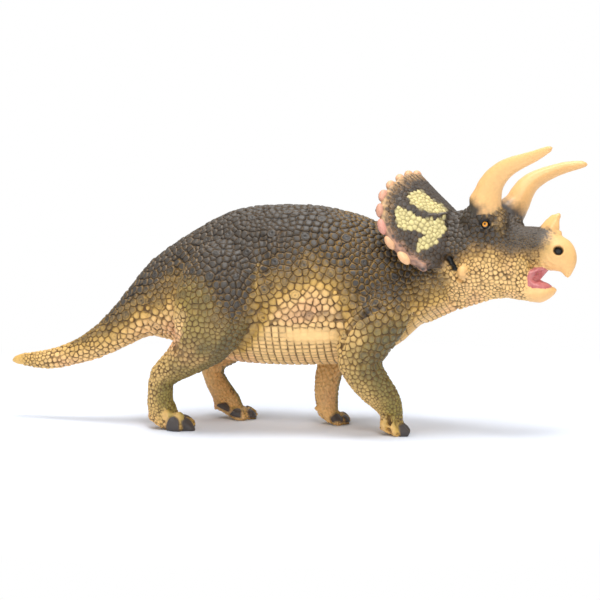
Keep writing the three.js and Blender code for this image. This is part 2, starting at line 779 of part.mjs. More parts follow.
const JAW_TANG = { radius: 1.5, upShare: -0.43, fromShare: 0.66, length: 9, sides: 12 };
const PAINT = {
  hide: { color: "#6b6350", roughness: 0.62 },
  leg: { color: "#948556", roughness: 0.62 },
  tail: { color: "#a08a58", roughness: 0.62 },
  face: { color: "#8a7a58", roughness: 0.6 },
  frill: { color: "#54494a", roughness: 0.62 },
  horn: { color: "#efc489", roughness: 0.42 },
  lining: { color: "#d88f8a", roughness: 0.4 },
};
const figure = new THREE.Group();
const head = new THREE.Group();
head.position.copy(headPlace);
head.rotation.copy(headTurn);
figure.add(head);

/** Adds a solid to a group as a named mesh that pivots on a point. */
function addPart(group, name, solid, paint, pivot = vec(0, 0, 0)) {
  const geometry = geometryOf(solid).translate(-pivot.x, -pivot.y, -pivot.z);
  const mesh = new THREE.Mesh(geometry, new THREE.MeshStandardMaterial({ metalness: 0, ...paint }));
  mesh.name = name;
  mesh.position.copy(pivot);
  group.add(mesh);
}

const torso = torsoHalves();
addPart(figure, "torso_shell_right", torso.right, PAINT.hide);
addPart(figure, "torso_shell_left", torso.left, PAINT.hide);
addPart(figure, "tail", tailSolid(), PAINT.tail, vec(RUMP_X, 0, midTail));
for (const [name, leg] of Object.entries(LEGS)) {
  addPart(figure, name, legSolid(leg), PAINT.leg, legPost(leg).start);
}

const neckInHead = moved(trunkCutter, worldToHead);
const skullCutter = skullForm(FIT);
const jawCutter = headForm(JAW_SECTION_SHARES, HEAD_RINGS.jaw, FIT);
const tangStart = inHead([JAW_TANG.fromShare, 0, JAW_TANG.upShare]);
const tang = bar(tangStart, vec(-1, 0, 0), JAW_TANG.radius, JAW_TANG.length, JAW_TANG.sides);
const tangBore = bar(
  tangStart,
  vec(-1, 0, 0),
  JAW_TANG.radius + FIT,
  JAW_TANG.length + FIT,
  JAW_TANG.sides,
);
const horns = Object.entries(BROW_HORNS).map(([name, horn]) => ({
  name,
  ...hornSolid(horn, BROW_HORN_MAKE, skullCutter),
}));
horns.push({ name: "nose_horn", ...hornSolid(NOSE_HORN, NOSE_HORN_MAKE, skullCutter) });

let skull = largest(skullForm(0).subtract(neckInHead));
for (const { bore } of horns) skull = skull.subtract(bore);
skull = skull.subtract(tangBore).add(moved(postSolid(headPost), worldToHead));
const jaw = headForm(JAW_SECTION_SHARES, HEAD_RINGS.jaw).subtract(skullCutter);
const lining = liningForm().subtract(skullCutter).subtract(jawCutter);
const frill = frillForm().subtract(skullCutter).subtract(neckInHead);
addPart(head, "skull", skull, PAINT.face);
for (const { name, solid } of horns) addPart(head, name, solid, PAINT.horn);
addPart(head, "lower_jaw", largest(jaw).add(tang), PAINT.face);
addPart(head, "mouth_lining", largest(lining), PAINT.lining);
addPart(head, "frill", largest(frill), PAINT.frill);

// The figure's origin is the middle of its outline on the floor
figure.updateMatrixWorld(true);
const outline = new THREE.Box3().setFromObject(figure, true);
const middle = outline.getCenter(vec(0, 0, 0));
figure.position.set(-middle.x, -middle.y, -outline.min.z);

export default figure;
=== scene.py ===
"""A moulded vinyl toy of a walking three-horned dinosaur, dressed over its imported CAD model.

The hide is one skin laid over copies of the CAD solids. It is smoothed, sculpted and covered with
raised scales, then parted along the CAD's own seams, so each moulding keeps its piece. Lengths inside
the classes are millimetres, and only the finished meshes are metres.
"""

from __future__ import annotations
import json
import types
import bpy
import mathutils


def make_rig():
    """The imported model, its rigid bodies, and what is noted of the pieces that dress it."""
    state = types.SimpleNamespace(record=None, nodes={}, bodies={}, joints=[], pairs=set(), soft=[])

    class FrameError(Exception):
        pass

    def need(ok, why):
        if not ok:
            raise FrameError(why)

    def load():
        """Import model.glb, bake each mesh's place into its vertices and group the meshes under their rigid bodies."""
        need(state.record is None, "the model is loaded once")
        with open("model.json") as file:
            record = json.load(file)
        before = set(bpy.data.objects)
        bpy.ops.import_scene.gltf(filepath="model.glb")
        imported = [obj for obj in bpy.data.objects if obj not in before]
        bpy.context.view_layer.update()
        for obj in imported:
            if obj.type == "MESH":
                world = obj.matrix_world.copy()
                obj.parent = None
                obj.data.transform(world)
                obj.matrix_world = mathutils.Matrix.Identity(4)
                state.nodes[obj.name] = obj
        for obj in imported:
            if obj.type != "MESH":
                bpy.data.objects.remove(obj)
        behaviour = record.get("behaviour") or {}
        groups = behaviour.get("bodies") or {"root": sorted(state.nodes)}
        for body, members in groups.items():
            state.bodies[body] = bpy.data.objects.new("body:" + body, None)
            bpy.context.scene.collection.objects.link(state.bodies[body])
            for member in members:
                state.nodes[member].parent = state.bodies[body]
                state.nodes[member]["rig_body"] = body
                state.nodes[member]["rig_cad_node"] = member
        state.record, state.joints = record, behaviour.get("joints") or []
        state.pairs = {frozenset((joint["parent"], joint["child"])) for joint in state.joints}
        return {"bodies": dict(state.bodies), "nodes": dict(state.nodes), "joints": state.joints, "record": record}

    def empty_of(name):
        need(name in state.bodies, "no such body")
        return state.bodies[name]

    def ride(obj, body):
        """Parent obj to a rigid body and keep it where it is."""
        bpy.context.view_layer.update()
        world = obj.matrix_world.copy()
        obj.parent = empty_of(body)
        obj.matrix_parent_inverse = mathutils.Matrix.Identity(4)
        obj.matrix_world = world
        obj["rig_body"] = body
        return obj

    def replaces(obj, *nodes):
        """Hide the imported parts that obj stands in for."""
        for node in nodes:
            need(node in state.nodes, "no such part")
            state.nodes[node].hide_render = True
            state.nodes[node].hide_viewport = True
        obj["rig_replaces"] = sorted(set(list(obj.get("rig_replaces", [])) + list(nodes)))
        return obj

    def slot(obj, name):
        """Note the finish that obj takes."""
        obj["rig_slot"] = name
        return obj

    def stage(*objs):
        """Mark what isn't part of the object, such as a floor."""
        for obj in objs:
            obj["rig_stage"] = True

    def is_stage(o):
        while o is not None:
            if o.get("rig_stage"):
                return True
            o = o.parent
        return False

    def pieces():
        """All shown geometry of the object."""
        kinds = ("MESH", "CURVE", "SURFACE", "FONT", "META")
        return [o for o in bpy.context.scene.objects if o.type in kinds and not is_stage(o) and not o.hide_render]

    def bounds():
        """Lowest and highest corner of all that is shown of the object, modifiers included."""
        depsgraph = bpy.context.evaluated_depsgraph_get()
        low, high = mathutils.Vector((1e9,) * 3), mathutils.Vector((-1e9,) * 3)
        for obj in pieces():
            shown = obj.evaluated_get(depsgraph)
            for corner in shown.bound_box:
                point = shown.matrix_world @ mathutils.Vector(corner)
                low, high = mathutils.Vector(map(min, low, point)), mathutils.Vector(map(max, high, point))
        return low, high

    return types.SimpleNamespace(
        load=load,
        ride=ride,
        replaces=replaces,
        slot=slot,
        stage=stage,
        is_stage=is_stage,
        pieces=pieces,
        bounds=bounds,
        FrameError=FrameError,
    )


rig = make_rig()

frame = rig.load()

import json
import logging
import math
from dataclasses import dataclass, field
from enum import Enum
from functools import partial
from typing import Callable, Sequence

import bmesh
import bpy
import numpy as np
from bpy.types import ID, Material, Mesh, Node, NodeSocket, NodeTree, Object
from mathutils import Matrix, Vector
from mathutils.bvhtree import BVHTree
from mathutils.kdtree import KDTree
from numpy.linalg import norm

MM = 0.001
BODY = "root"
SIZE_NOTE = "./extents.json"
LOG = logging.getLogger("figure")

# Y of the figure's middle plane, and the height at which the legs' stride fades out, in millimetres
MIDDLE_Y = -1.5
HIP_HEIGHT = 46.0

Array = np.ndarray
Pair = tuple[float, float]
Place = tuple[float, float, float]
Ball = tuple[Place, float]
# Points and triangles
Shape = tuple[Array, Array]
# Shares of paint at a skin's points, by name
Shares = dict[str, Array]


class Side(Enum):
    """The figure's two sides, by the sign of Y."""

    RIGHT = -1
    LEFT = 1


# Arithmetic on arrays of points


def limit(value: Array) -> Array:
    """Values kept between 0 and 1."""
    return np.clip(value, 0.0, 1.0)


def ease(low: float | Array, high: float | Array, value: Array) -> Array:
    """Rises smoothly from 0 at low to 1 at high.

    Args:
        low: Value that gives 0.
        high: Value that gives 1, which may be the smaller of the two.
        value: The values to ease.

    Returns:
        An array of shares from 0 to 1.
    """
    t = limit((value - low) / (high - low))
    return t * t * (3.0 - 2.0 * t)


def swell(points: Array, centre: Sequence[float], radii: Sequence[float]) -> Array:
    """A soft mound: 1 at a centre, fading out over about two radii.

    Args:
        points: Points, one a row.
        centre: Middle of the mound.
        radii: Its reach along X, Y and Z.

    Returns:
        A share from 0 to 1 for each point.
    """
    away = (points - centre) / radii
    return np.exp(-(away**2).sum(axis=1))


def bell(value: Array, width: float) -> Array:
    """A soft hump: 1 where the value is 0, fading out over about two widths."""
    return np.exp(-((value / width) ** 2))


def line_distance(points: Array, path: Sequence[Sequence[float]]) -> Array:
    """Distance from points to a bent line.

    Args:
        points: Points, one a row.
        path: The line's corners.

    Returns:
        The distance of each point to the nearest stretch.
    """
    best = np.full(len(points), np.inf)
    corners = np.asarray(path, dtype=float)
    for start, end in zip(corners[:-1], corners[1:]):
        way = end - start
        share = limit(((points - start) @ way) / (way @ way))
        best = np.minimum(best, norm(points - start - share[:, None] * way, axis=1))
    return best


def outline_depth(points: Array, outline: Sequence[Sequence[float]]) -> Array:
    """How deep points of a plane lie inside a closed outline.

    Args:
        points: Points with two values each.
        outline: The outline's corners in order.

    Returns:
        The distance to the outline, negative outside it.
    """
    corners = [*outline, outline[0]]
    across, up = points.T
    inside = np.zeros(len(points), dtype=bool)
    for (x0, y0), (x1, y1) in zip(corners[:-1], corners[1:]):
        if y0 != y1:
            crossed = ((y0 > up) != (y1 > up)) & (across < x0 + (up - y0) / (y1 - y0) * (x1 - x0))
            inside ^= crossed
    far = line_distance(points, corners)
    return np.where(inside, far, -far)


def ripple(points: Array, wavelength: float, seed: int) -> Array:
    """A smooth random field made of crossing waves.

    Args:
        points: Points, one a row.
        wavelength: Rough distance between two rises.
        seed: Picks the waves.

    Returns:
        Values of about -1 to 1.
    """
    rng = np.random.default_rng(seed)
    total = np.zeros(len(points))
    for _ in range(7):
        way = rng.normal(size=3)
        way *= 2.0 * math.pi / (wavelength * rng.uniform(0.7, 1.5) * norm(way))
        total += np.sin(points @ way + rng.uniform(0.0, 2.0 * math.pi))
    return total / 3.0


def on_side(path: Sequence[Place], side: Side, stride: float) -> list[Place]:
    """A path drawn on the right side, put on a given side.

    Args:
        path: Corners with a positive Y, as they lie on the right side.
        side: The side that is wanted.
        stride: How much farther forward the left foot stands than the right one.

    Returns:
        The path's corners on that side, sheared with the leg that carries them.
    """
    shift = stride if side is Side.LEFT else 0.0
    return [(x + shift * max(0.0, 1.0 - z / HIP_HEIGHT), y * side.value, z) for x, y, z in path]


# Meshes as arrays


def neighbour_sum(pairs: Array, values: Array) -> Array:
    """Adds up the values of each point's neighbours.

    Args:
        pairs: The edges, as pairs of points.
        values: One value for each point.

    Returns:
        One sum for each point.
    """
    first, second = pairs[:, 0], pairs[:, 1]
    count = len(values)
    return np.bincount(first, values[second], count) + np.bincount(second, values[first], count)


def point_tree(points: Array) -> KDTree:
    """A tree that finds the points nearest to a place.

    Args:
        points: Points, one a row.

    Returns:
        The tree, which numbers the points by row.
    """
    tree = KDTree(len(points))
    for row, place in enumerate(points.tolist()):
        tree.insert(place, row)
    tree.balance()
    return tree


@dataclass
class Skin:
    """A mesh of quads held as arrays, in millimetres."""

    points: Array
    quads: Array

    def edges(self) -> tuple[Array, Array]:
        """The skin's edges.

        Returns:
            Pairs of points, and each quad's four edges as places in that list.
        """
        ends = np.stack([self.quads, np.roll(self.quads, -1, axis=1)], axis=2).reshape(-1, 2)
        ends = np.sort(ends, axis=1)
        key = ends[:, 0].astype(np.int64) * len(self.points) + ends[:, 1]
        unique, back = np.unique(key, return_inverse=True)
        pairs = np.stack([unique // len(self.points), unique % len(self.points)], axis=1)
        return pairs, back.reshape(-1, 4)

    def crossed(self) -> Array:
        """Each quad's normal, twice as long as its area."""
        corner = self.points[self.quads]
        return np.cross(corner[:, 2] - corner[:, 0], corner[:, 3] - corner[:, 1])

    def normals(self) -> Array:
        """Works out the skin's normals.

        Returns:
            The outward direction at each point.
        """
        face = self.crossed()
        total = np.zeros_like(self.points)
        for i in range(4):
            for axis in range(3):
                total[:, axis] += np.bincount(self.quads[:, i], face[:, axis], len(self.points))
        return total / np.maximum(norm(total, axis=1, keepdims=True), 1e-12)

    def areas(self) -> Array:
        """Shares the surface out among the points.

        Returns:
            The square millimetres that each point stands for.
        """
        quarter = norm(self.crossed(), axis=1) / 8.0
        total = np.zeros(len(self.points))
        for i in range(4):
            total += np.bincount(self.quads[:, i], quarter, len(self.points))
        return total

    def relax(self, rounds: int, pull: float, keep: float = 1.03) -> None:
        """Evens out facets without letting the shape shrink.

        Args:
            rounds: How often each point is drawn to its neighbours and pushed back.
            pull: The share of the way that it is drawn.
            keep: Push back over pull; 0 lets the shape shrink.
        """
        pairs, _ = self.edges()
        degree = np.bincount(pairs.ravel(), minlength=len(self.points)).astype(float)
        for _ in range(rounds):
            for factor in (pull, -pull * keep):
                if factor == 0.0:
                    continue
                mean = np.empty_like(self.points)
                for axis in range(3):
                    mean[:, axis] = neighbour_sum(pairs, self.points[:, axis]) / degree
                self.points = self.points + factor * (mean - self.points)

    def smoothed(self, values: Array, rounds: int) -> Array:
        """Values at the points, blurred along the surface.

        Args:
            values: One value for each point.
            rounds: How often each is averaged with its neighbours.

        Returns:
            The blurred values.
        """
        pairs, _ = self.edges()
        degree = np.bincount(pairs.ravel(), minlength=len(values)).astype(float)
        for _ in range(rounds):
            values = 0.5 * values + 0.5 * neighbour_sum(pairs, values) / degree
        return values

    def straightened(self, label: Array, rounds: int) -> None:
        """Draws the stepped borders between labelled quads into smooth lines.

        Args:
            label: One label for each quad.
            rounds: How often a border's points are drawn to their neighbours on it.
        """
        pairs, of_quad = self.edges()
        low = np.full(len(pairs), len(self.points))
        high = np.full(len(pairs), -1)
        for i in range(4):
            np.minimum.at(low, of_quad[:, i], label)
            np.maximum.at(high, of_quad[:, i], label)
        border = pairs[low != high]
        degree = np.bincount(border.ravel(), minlength=len(self.points))
        free = degree == 2
        for _ in range(rounds):
            mean = np.empty_like(self.points)
            for axis in range(3):
                mean[:, axis] = neighbour_sum(border, self.points[:, axis]) / np.maximum(degree, 1)
            self.points[free] += 0.5 * (mean[free] - self.points[free])

    def largest(self) -> Skin:
        """Drops the hollows inside the skin.

        Returns:
            The skin's biggest connected surface.
        """
        pairs, _ = self.edges()
        first, second = pairs[:, 0], pairs[:, 1]
        label = np.arange(len(self.points))
        while True:
            low = np.minimum(label[first], label[second])
            before = label.copy()
            np.minimum.at(label, label[first], low)
            np.minimum.at(label, label[second], low)
            label = label[label]
            if (label == before).all():
                break
        keep = label == np.bincount(label).argmax()
        number = np.cumsum(keep) - 1
        return Skin(self.points[keep], number[self.quads[keep[self.quads[:, 0]]]])

    def carried(self, values: Array) -> Array:
        """Values at this skin's points, carried over to those of the refined one."""
        pairs, _ = self.edges()
        return np.concatenate([values, values[pairs].mean(axis=1), values[self.quads].mean(axis=1)])

    def refined(self) -> tuple[Skin, Array]:
        """The skin with each quad cut in four.

        Returns:
            The finer skin, and for each of its points a near point of this one.
        """
        pairs, of_quad = self.edges()
        count = len(self.points)
        edge = of_quad + count
        face = np.arange(len(self.quads)) + count + len(pairs)
        parts = [
            np.stack([self.quads[:, i], edge[:, i], face, edge[:, i - 1]], axis=1)
            for i in range(4)
        ]
        near = np.concatenate([np.arange(count), pairs[:, 0], self.quads[:, 0]])
        fine = Skin(self.carried(self.points), np.stack(parts, axis=1).reshape(-1, 4))
        return fine, near


def plain_mesh(name: str, points: Array, corners: Array, starts: Array) -> Mesh:
    """A Blender mesh from arrays.

    Args:
        name: Name of the mesh.
        points: Points, in the unit that the mesh is to have.
        corners: The faces' corners, one face after the other.
        starts: Where each face starts among them.

    Returns:
        The mesh, with its edges worked out.
    """
    mesh = bpy.data.meshes.new(name)
    mesh.vertices.add(len(points))
    mesh.vertices.foreach_set("co", np.ascontiguousarray(points, dtype=np.float32).ravel())
    mesh.loops.add(len(corners))
    mesh.loops.foreach_set("vertex_index", np.ascontiguousarray(corners, dtype=np.int32))
    mesh.polygons.add(len(starts))
    mesh.polygons.foreach_set("loop_start", np.ascontiguousarray(starts, dtype=np.int32))
    mesh.update(calc_edges=True)
    return mesh


def store(mesh: Mesh, name: str, values: Array) -> None:
    """Stores one value for each point of a mesh under a name."""
    layer = mesh.attributes.new(name, "FLOAT", "POINT")
    layer.data.foreach_set("value", np.ascontiguousarray(values, dtype=np.float32))


def linked(name: str, data: ID) -> Object:
    """Puts a mesh, a lamp or a camera into the scene.

    Args:
        name: Name of the object.
        data: What it shows.

    Returns:
        The object.
    """
    thing = bpy.data.objects.new(name, data)
    bpy.context.scene.collection.objects.link(thing)
    return thing


def evaluated(thing: Object) -> Mesh:
    """The plain mesh that an object's modifiers make."""
    graph = bpy.context.evaluated_depsgraph_get()
    return bpy.data.meshes.new_from_object(thing.evaluated_get(graph))


def discard(thing: Object) -> None:
    """Removes a helper object with its mesh."""
    bpy.data.meshes.remove(thing.data)


def as_arrays(work: bmesh.types.BMesh) -> Shape:
    """Empties a working mesh into arrays.

    Args:
        work: The working mesh, which is freed.

    Returns:
        Points and triangles.
    """
    bmesh.ops.triangulate(work, faces=work.faces)
    points = np.array([v.co[:] for v in work.verts])
    triangles = np.array([[v.index for v in f.verts] for f in work.faces])
    work.free()
    return points, triangles


def hull_of(balls: Sequence[Ball]) -> Shape:
    """A closed convex shape drawn tight round some balls.

    Args:
        balls: Their middles and radii.

    Returns:
        Points and triangles.
    """
    count = 80
    turn = np.arange(count) * math.pi * (3.0 - math.sqrt(5.0))
    rise = np.linspace(-1.0, 1.0, count)
    ring = np.sqrt(1.0 - rise**2)
    ways = np.stack((ring * np.cos(turn), ring * np.sin(turn), rise), axis=1)
    work = bmesh.new()
    for middle, radius in balls:
        for place in (np.array(middle) + radius * ways).tolist():
            work.verts.new(place)
    made = bmesh.ops.convex_hull(work, input=work.verts)
    spare = [part for part in made["geom_interior"] if isinstance(part, bmesh.types.BMVert)]
    bmesh.ops.delete(work, geom=spare, context="VERTS")
    work.verts.index_update()
    return as_arrays(work)


def cad_copy(node: str, fatten: float) -> Shape:
    """A CAD solid's merged copy, grown a little.

    Args:
        node: Name of the solid.
        fatten: How far its skin is moved outwards, in millimetres.

    Returns:
        Points in millimetres and triangles.
    """
    work = bmesh.new()
    work.from_mesh(frame["nodes"][node].data)
    bmesh.ops.remove_doubles(work, verts=work.verts, dist=0.002 * MM)
    work.normal_update()
    grown = [v.co / MM + v.normal * fatten for v in work.verts]
    for vertex, place in zip(work.verts, grown):
        vertex.co = place
    return as_arrays(work)


def shrink_wrap(shapes: Sequence[Shape], pitch: float) -> Skin:
    """One closed skin of even quads round several closed shapes.

    Args:
        shapes: The shapes, as points and triangles.
        pitch: Size of the quads.

    Returns:
        The outer skin.
    """
    offsets = np.cumsum([0] + [len(points) for points, _ in shapes])
    points = np.concatenate([points for points, _ in shapes])
    triangles = np.concatenate([t + o for (_, t), o in zip(shapes, offsets)])
    thing = linked("wrap", plain_mesh("wrap", points, triangles.ravel(), np.arange(len(triangles)) * 3))
    wrap = thing.modifiers.new("wrap", "REMESH")
    wrap.mode = "VOXEL"
    wrap.voxel_size = pitch
    made = evaluated(thing)
    corner = np.empty(len(made.loops), dtype=np.int32)
    made.loops.foreach_get("vertex_index", corner)
    place = np.empty(3 * len(made.vertices), dtype=np.float32)
    made.vertices.foreach_get("co", place)
    bpy.data.meshes.remove(made)
    discard(thing)
    return Skin(place.reshape(-1, 3).astype(float), corner.reshape(-1, 4)).largest()


def nearest_node(nodes: Sequence[str], places: Array) -> Array:
    """Which CAD solid is nearest to each place.

    Args:
        nodes: Names of the solids.
        places: Points, one a row.

    Returns:
        The solids' places in the list of names.
    """
    points: list[Vector] = []
    faces: list[list[int]] = []
    owner: list[int] = []
    for index, node in enumerate(nodes):
        own, triangles = cad_copy(node, 0.0)
        faces.extend((triangles + len(points)).tolist())
        points.extend(Vector(p) for p in own)
        owner.extend([index] * len(triangles))
    tree = BVHTree.FromPolygons(points, faces)
    return np.array([owner[tree.find_nearest(Vector(p))[2]] for p in places.tolist()])


def tidy_borders(label: Array, skin: Skin, rounds: int) -> Array:
    """Evens the borders between labelled quads and drops stray ones.

    Args:
        label: One label for each quad.
        skin: The skin that the quads belong to.
        rounds: How often each quad asks its neighbours.

    Returns:
        The tidied labels.
    """
    pairs, of_quad = skin.edges()
    kinds = int(label.max()) + 1
    flat = np.arange(len(label))
    for _ in range(rounds):
        shared = np.zeros(len(pairs) * kinds)
        for i in range(4):
            shared += np.bincount(of_quad[:, i] * kinds + label, minlength=len(shared))
        votes = shared.reshape(-1, kinds)[of_quad].sum(axis=1)
        # Of a quad's four votes for its own label one and a half count, so that stray quads give way
        votes[flat, label] -= 2.5
        label = votes.argmax(axis=1)
    return label


def rim_loops(quads: Array) -> list[list[int]]:
    """The open rims of a patch of quads.

    Args:
        quads: The patch's quads.

    Returns:
        Each rim as a loop of points, in the order in which a cap's faces take it.
    """
    heads = quads.ravel()
    tails = np.roll(quads, -1, axis=1).ravel()
    size = int(quads.max()) + 1
    forward = heads.astype(np.int64) * size + tails
    backward = tails.astype(np.int64) * size + heads
    open_ = ~np.isin(forward, backward)
    ways: dict[int, list[int]] = {}
    for head, tail in zip(heads[open_].tolist(), tails[open_].tolist()):
        ways.setdefault(tail, []).append(head)
    loops = []
    while ways:
        start = next(iter(ways))
        loop, here = [], start
        while True:
            loop.append(here)
            onward = ways[here].pop()
            if not ways[here]:
                del ways[here]
            here = onward
            if here == start:
                break
        loops.append(loop)
    return loops


# Scales

# Surface that each scale of an even spread takes, as a share of its spacing's square
PACKING = 0.87
# Share of the scales that are small, and how far the kinds of scales push their borders out, as
# shares of their reach's square
SMALL_SHARE = 0.13
SMALL_GAIN = -0.5
PLAIN_GAIN = 0.3
RING_GAIN = 1.25
# The moat, the pit and the lip of a ringed scale: middle and width as shares of its radius
RING_PROFILE = ((0.6, 0.12), (0.0, 0.24), (0.82, 0.14))


@dataclass
class Cells:
    """Where each point of a skin lies in its scale."""

    own: Array
    edge: Array
    away: Array
    across: Array


@dataclass
class Scales:
    """The moulded scales of a skin: one centre each, and the skin is shared out among them."""

    centres: Array
    reach: Array
    gain: Array
    ringed: Array
    scute: Array

    @classmethod
    def spread(
        cls, skin: Skin, spacing: Array, where: Array, rings_apart: Array, rows: Array, seed: int
    ) -> Scales:
        """Spreads scales evenly over a skin.

        Args:
            skin: The skin.
            spacing: Distance between neighbours at each point.
            where: Which points get free scales.
            rings_apart: Distance between ringed scales at each point, 0 where there are none.
            rows: Centres of the scales that stand in rows.
            seed: Picks the pattern.

        Returns:
            The scales.
        """
        rng = np.random.default_rng(seed)
        area = skin.areas()
        wide = np.where(rings_apart > 0.0, rings_apart, 1.0)
        weight = np.where((rings_apart > 0.0) & where, area / (PACKING * wide**2), 0.0)
        ringed = cls._evened(skin.points, weight, wide, np.zeros((0, 3)), rng, 6)
        weight = np.where(where, area / (PACKING * spacing**2), 0.0)
        fixed = np.concatenate([ringed, rows])
        free = cls._evened(skin.points, weight, spacing, fixed, rng, 9)
        centres = np.concatenate([fixed, free])
        tree = point_tree(skin.points)
        close = np.array([tree.find(p)[1] for p in centres.tolist()])
        is_ring = np.arange(len(centres)) < len(ringed)
        is_row = (np.arange(len(centres)) < len(fixed)) & ~is_ring
        reach = spacing[close] / 2.0
        small = rng.uniform(size=len(centres)) < SMALL_SHARE
        share = np.where(small, SMALL_GAIN, rng.uniform(0.0, PLAIN_GAIN, len(centres)))
        share = np.where(is_ring, RING_GAIN, np.where(is_row, 0.0, share))
        return cls(centres, reach, share * reach**2, is_ring, is_row)

    @staticmethod
    def _evened(
        points: Array,
        weight: Array,
        spacing: Array,
        fixed: Array,
        rng: np.random.Generator,
        rounds: int,
    ) -> Array:
        """Takes random centres and moves them again and again to the middle of what is nearest.

        Args:
            points: The skin's points.
            weight: How many scales each point stands for.
            spacing: Distance between neighbours at each point.
            fixed: Centres that stay in their places.
            rng: Draws the first centres.
            rounds: How often they are moved.

        Returns:
            The centres.
        """
        count = max(int(round(weight.sum())), 1)
        inside = np.flatnonzero(weight > 0.0)
        picks = rng.choice(inside, count, replace=False, p=weight[inside] / weight[inside].sum())
        seeds = points[picks].copy()
        sample = points[inside]
        listed = sample.tolist()
        mass = weight[inside] / spacing[inside] ** 2
        for _ in range(rounds):
            tree = point_tree(np.concatenate([fixed, seeds]))
            owner = np.array([tree.find(p)[1] for p in listed]) - len(fixed)
            mine = owner >= 0
            total = np.bincount(owner[mine], mass[mine], len(seeds))
            used = total > 0.0
            for axis in range(3):
                sums = np.bincount(owner[mine], (mass * sample[:, axis])[mine], len(seeds))
                seeds[used, axis] = sums[used] / total[used]
        return seeds

    def candidates(self, points: Array, count: int = 6) -> Array:
        """The scales nearest to each point.

        Args:
            points: Points, one a row.
            count: How many scales to name.

        Returns:
            Their numbers, one row for each point.
        """
        tree = point_tree(self.centres)
        return np.array([[hit[1] for hit in tree.find_n(p, count)] for p in points.tolist()])

    def cells(self, points: Array, near: Array) -> Cells:
        """Finds each point's scale and how far it is from that scale's edge.

        Args:
            points: Points, one a row.
            near: The scales to choose from, one row for each point.

        Returns:
            The scale, the distance to its edge and to its middle, and the share of X in the
            direction that leads over the nearest edge.
        """
        away = ((points[:, None, :] - self.centres[near]) ** 2).sum(axis=2)
        power = away - self.gain[near]
        order = np.argsort(power, axis=1)[:, :5]
        row = np.arange(len(points))[:, None]
        ranked, score = near[row, order], power[row, order]
        step = self.centres[ranked[:, 1:]] - self.centres[ranked[:, :1]]
        length = np.maximum(norm(step, axis=2), 1e-6)
        gap = (score[:, 1:] - score[:, :1]) / (2.0 * length)
        best = gap.argmin(axis=1)
        flat = np.arange(len(points))
        return Cells(
            own=ranked[:, 0],
            edge=gap[flat, best],
            away=np.sqrt(away[flat, order[:, 0]]),
            across=np.abs(step[flat, best, 0]) / length[flat, best],
        )


@dataclass
class Relief:
    """What the scales give each point of a skin: height, and shares that the paint follows."""

    height: Array
    edge: Array
    line: Array
    tone: Array
    dimple: Array

    @classmethod
    def of(cls, scales: Scales, cells: Cells, rise: Array, squared: Array, seed: int) -> Relief:
        """Shapes each scale as a low pillow, and the ringed ones with a raised ring and a pit.

        Args:
            scales: The scales.
            cells: Where the points lie in them.
            rise: Height of a scale at each point.
            squared: How far the scutes at each point are parted along the body too.
            seed: Picks how much the scales differ.

        Returns:
            The relief.
        """
        rng = np.random.default_rng(seed)
        own = cells.own
        reach = scales.reach[own]
        vary = rng.uniform(0.78, 1.12, len(scales.centres))[own]
        tone = rng.uniform(-1.0, 1.0, len(scales.centres))[own]
        scute, ring = scales.scute[own], scales.ringed[own]
        span = np.sqrt(np.maximum(reach**2 + scales.gain[own], 0.05))
        round_edge = np.minimum(cells.edge, 1.06 * span - cells.away)
        edge = np.where(scute, cells.edge, np.maximum(round_edge, 0.0)) / reach
        share = limit(edge / 0.5)
        pillow = 1.0 - (1.0 - share) ** 2.2
        dome = 0.12 * limit(1.0 - (cells.away / span) ** 2)
        out = cells.away / span
        rings = [np.where(ring, bell(out - middle, width), 0.0) for middle, width in RING_PROFILE]
        moat, pit, lip = rings
        parted_by = squared + (1.0 - squared) * cells.across**2
        plate = 1.0 - parted_by * (1.0 - limit(edge / 0.32)) ** 1.6
        round_one = vary * (pillow + dome) - 0.3 * moat - 0.8 * pit + 0.3 * lip
        height = rise * np.where(scute, 0.95 * plate, round_one)
        line = np.where(scute, parted_by, 1.0)
        return cls(height, edge, line, tone, limit(pit + 0.4 * moat))


# The figure's skin

TORSO = ("torso_shell_right", "torso_shell_left")
LEGS = ("hind_leg_right", "hind_leg_left", "fore_leg_right", "fore_leg_left")
HORNS = ("brow_horn_right", "brow_horn_left", "nose_horn")
HEAD = ("skull", "frill", "lower_jaw", *HORNS, "mouth_lining")
NODES = (*TORSO, "tail", *LEGS, *HEAD)


@dataclass(frozen=True)
class HeadFrame:
    """The head's own axes: origin at the back of the skull, +X to the beak, +Z up."""

    origin: Place = (58.88, -1.52, 64.02)
    yaw: float = -12.0
    roll: float = -13.0

    def axes(self) -> Array:
        """The head's axes as the columns of a matrix."""
        yaw, roll = math.radians(self.yaw), math.radians(self.roll)
        return np.array(Matrix.Rotation(yaw, 3, "Z") @ Matrix.Rotation(roll, 3, "X"))

    def inside(self, points: Array) -> Array:
        """Points of the figure in the head's frame."""
        return (points - self.origin) @ self.axes()

    def outside(self, points: Array) -> Array:
        """Points of the head's frame in the figure's."""
        return points @ self.axes().T + self.origin


@dataclass
class Ground:
    """What is known of each point of a skin before it is painted."""

    points: Array
    normals: Array
    soft: Array
    head: Array
    head_normals: Array

    @classmethod
    def of(cls, skin: Skin, soft: Array, head: HeadFrame) -> Ground:
        """Works out a skin's ground.

        Args:
            skin: The skin.
            soft: How much each point belongs to each solid, one column a solid.
            head: The head's frame.

        Returns:
            The ground.
        """
        normals = skin.normals()
        return cls(skin.points, normals, soft, head.inside(skin.points), normals @ head.axes())

    def share(self, *names: str) -> Array:
        """How much each point belongs to the named solids, fading over their seams."""
        return self.soft[:, [NODES.index(name) for name in names]].sum(axis=1)

    def on(self, *names: str) -> Array:
        """Which points belong to the named solids."""
        return self.share(*names) >= 0.5


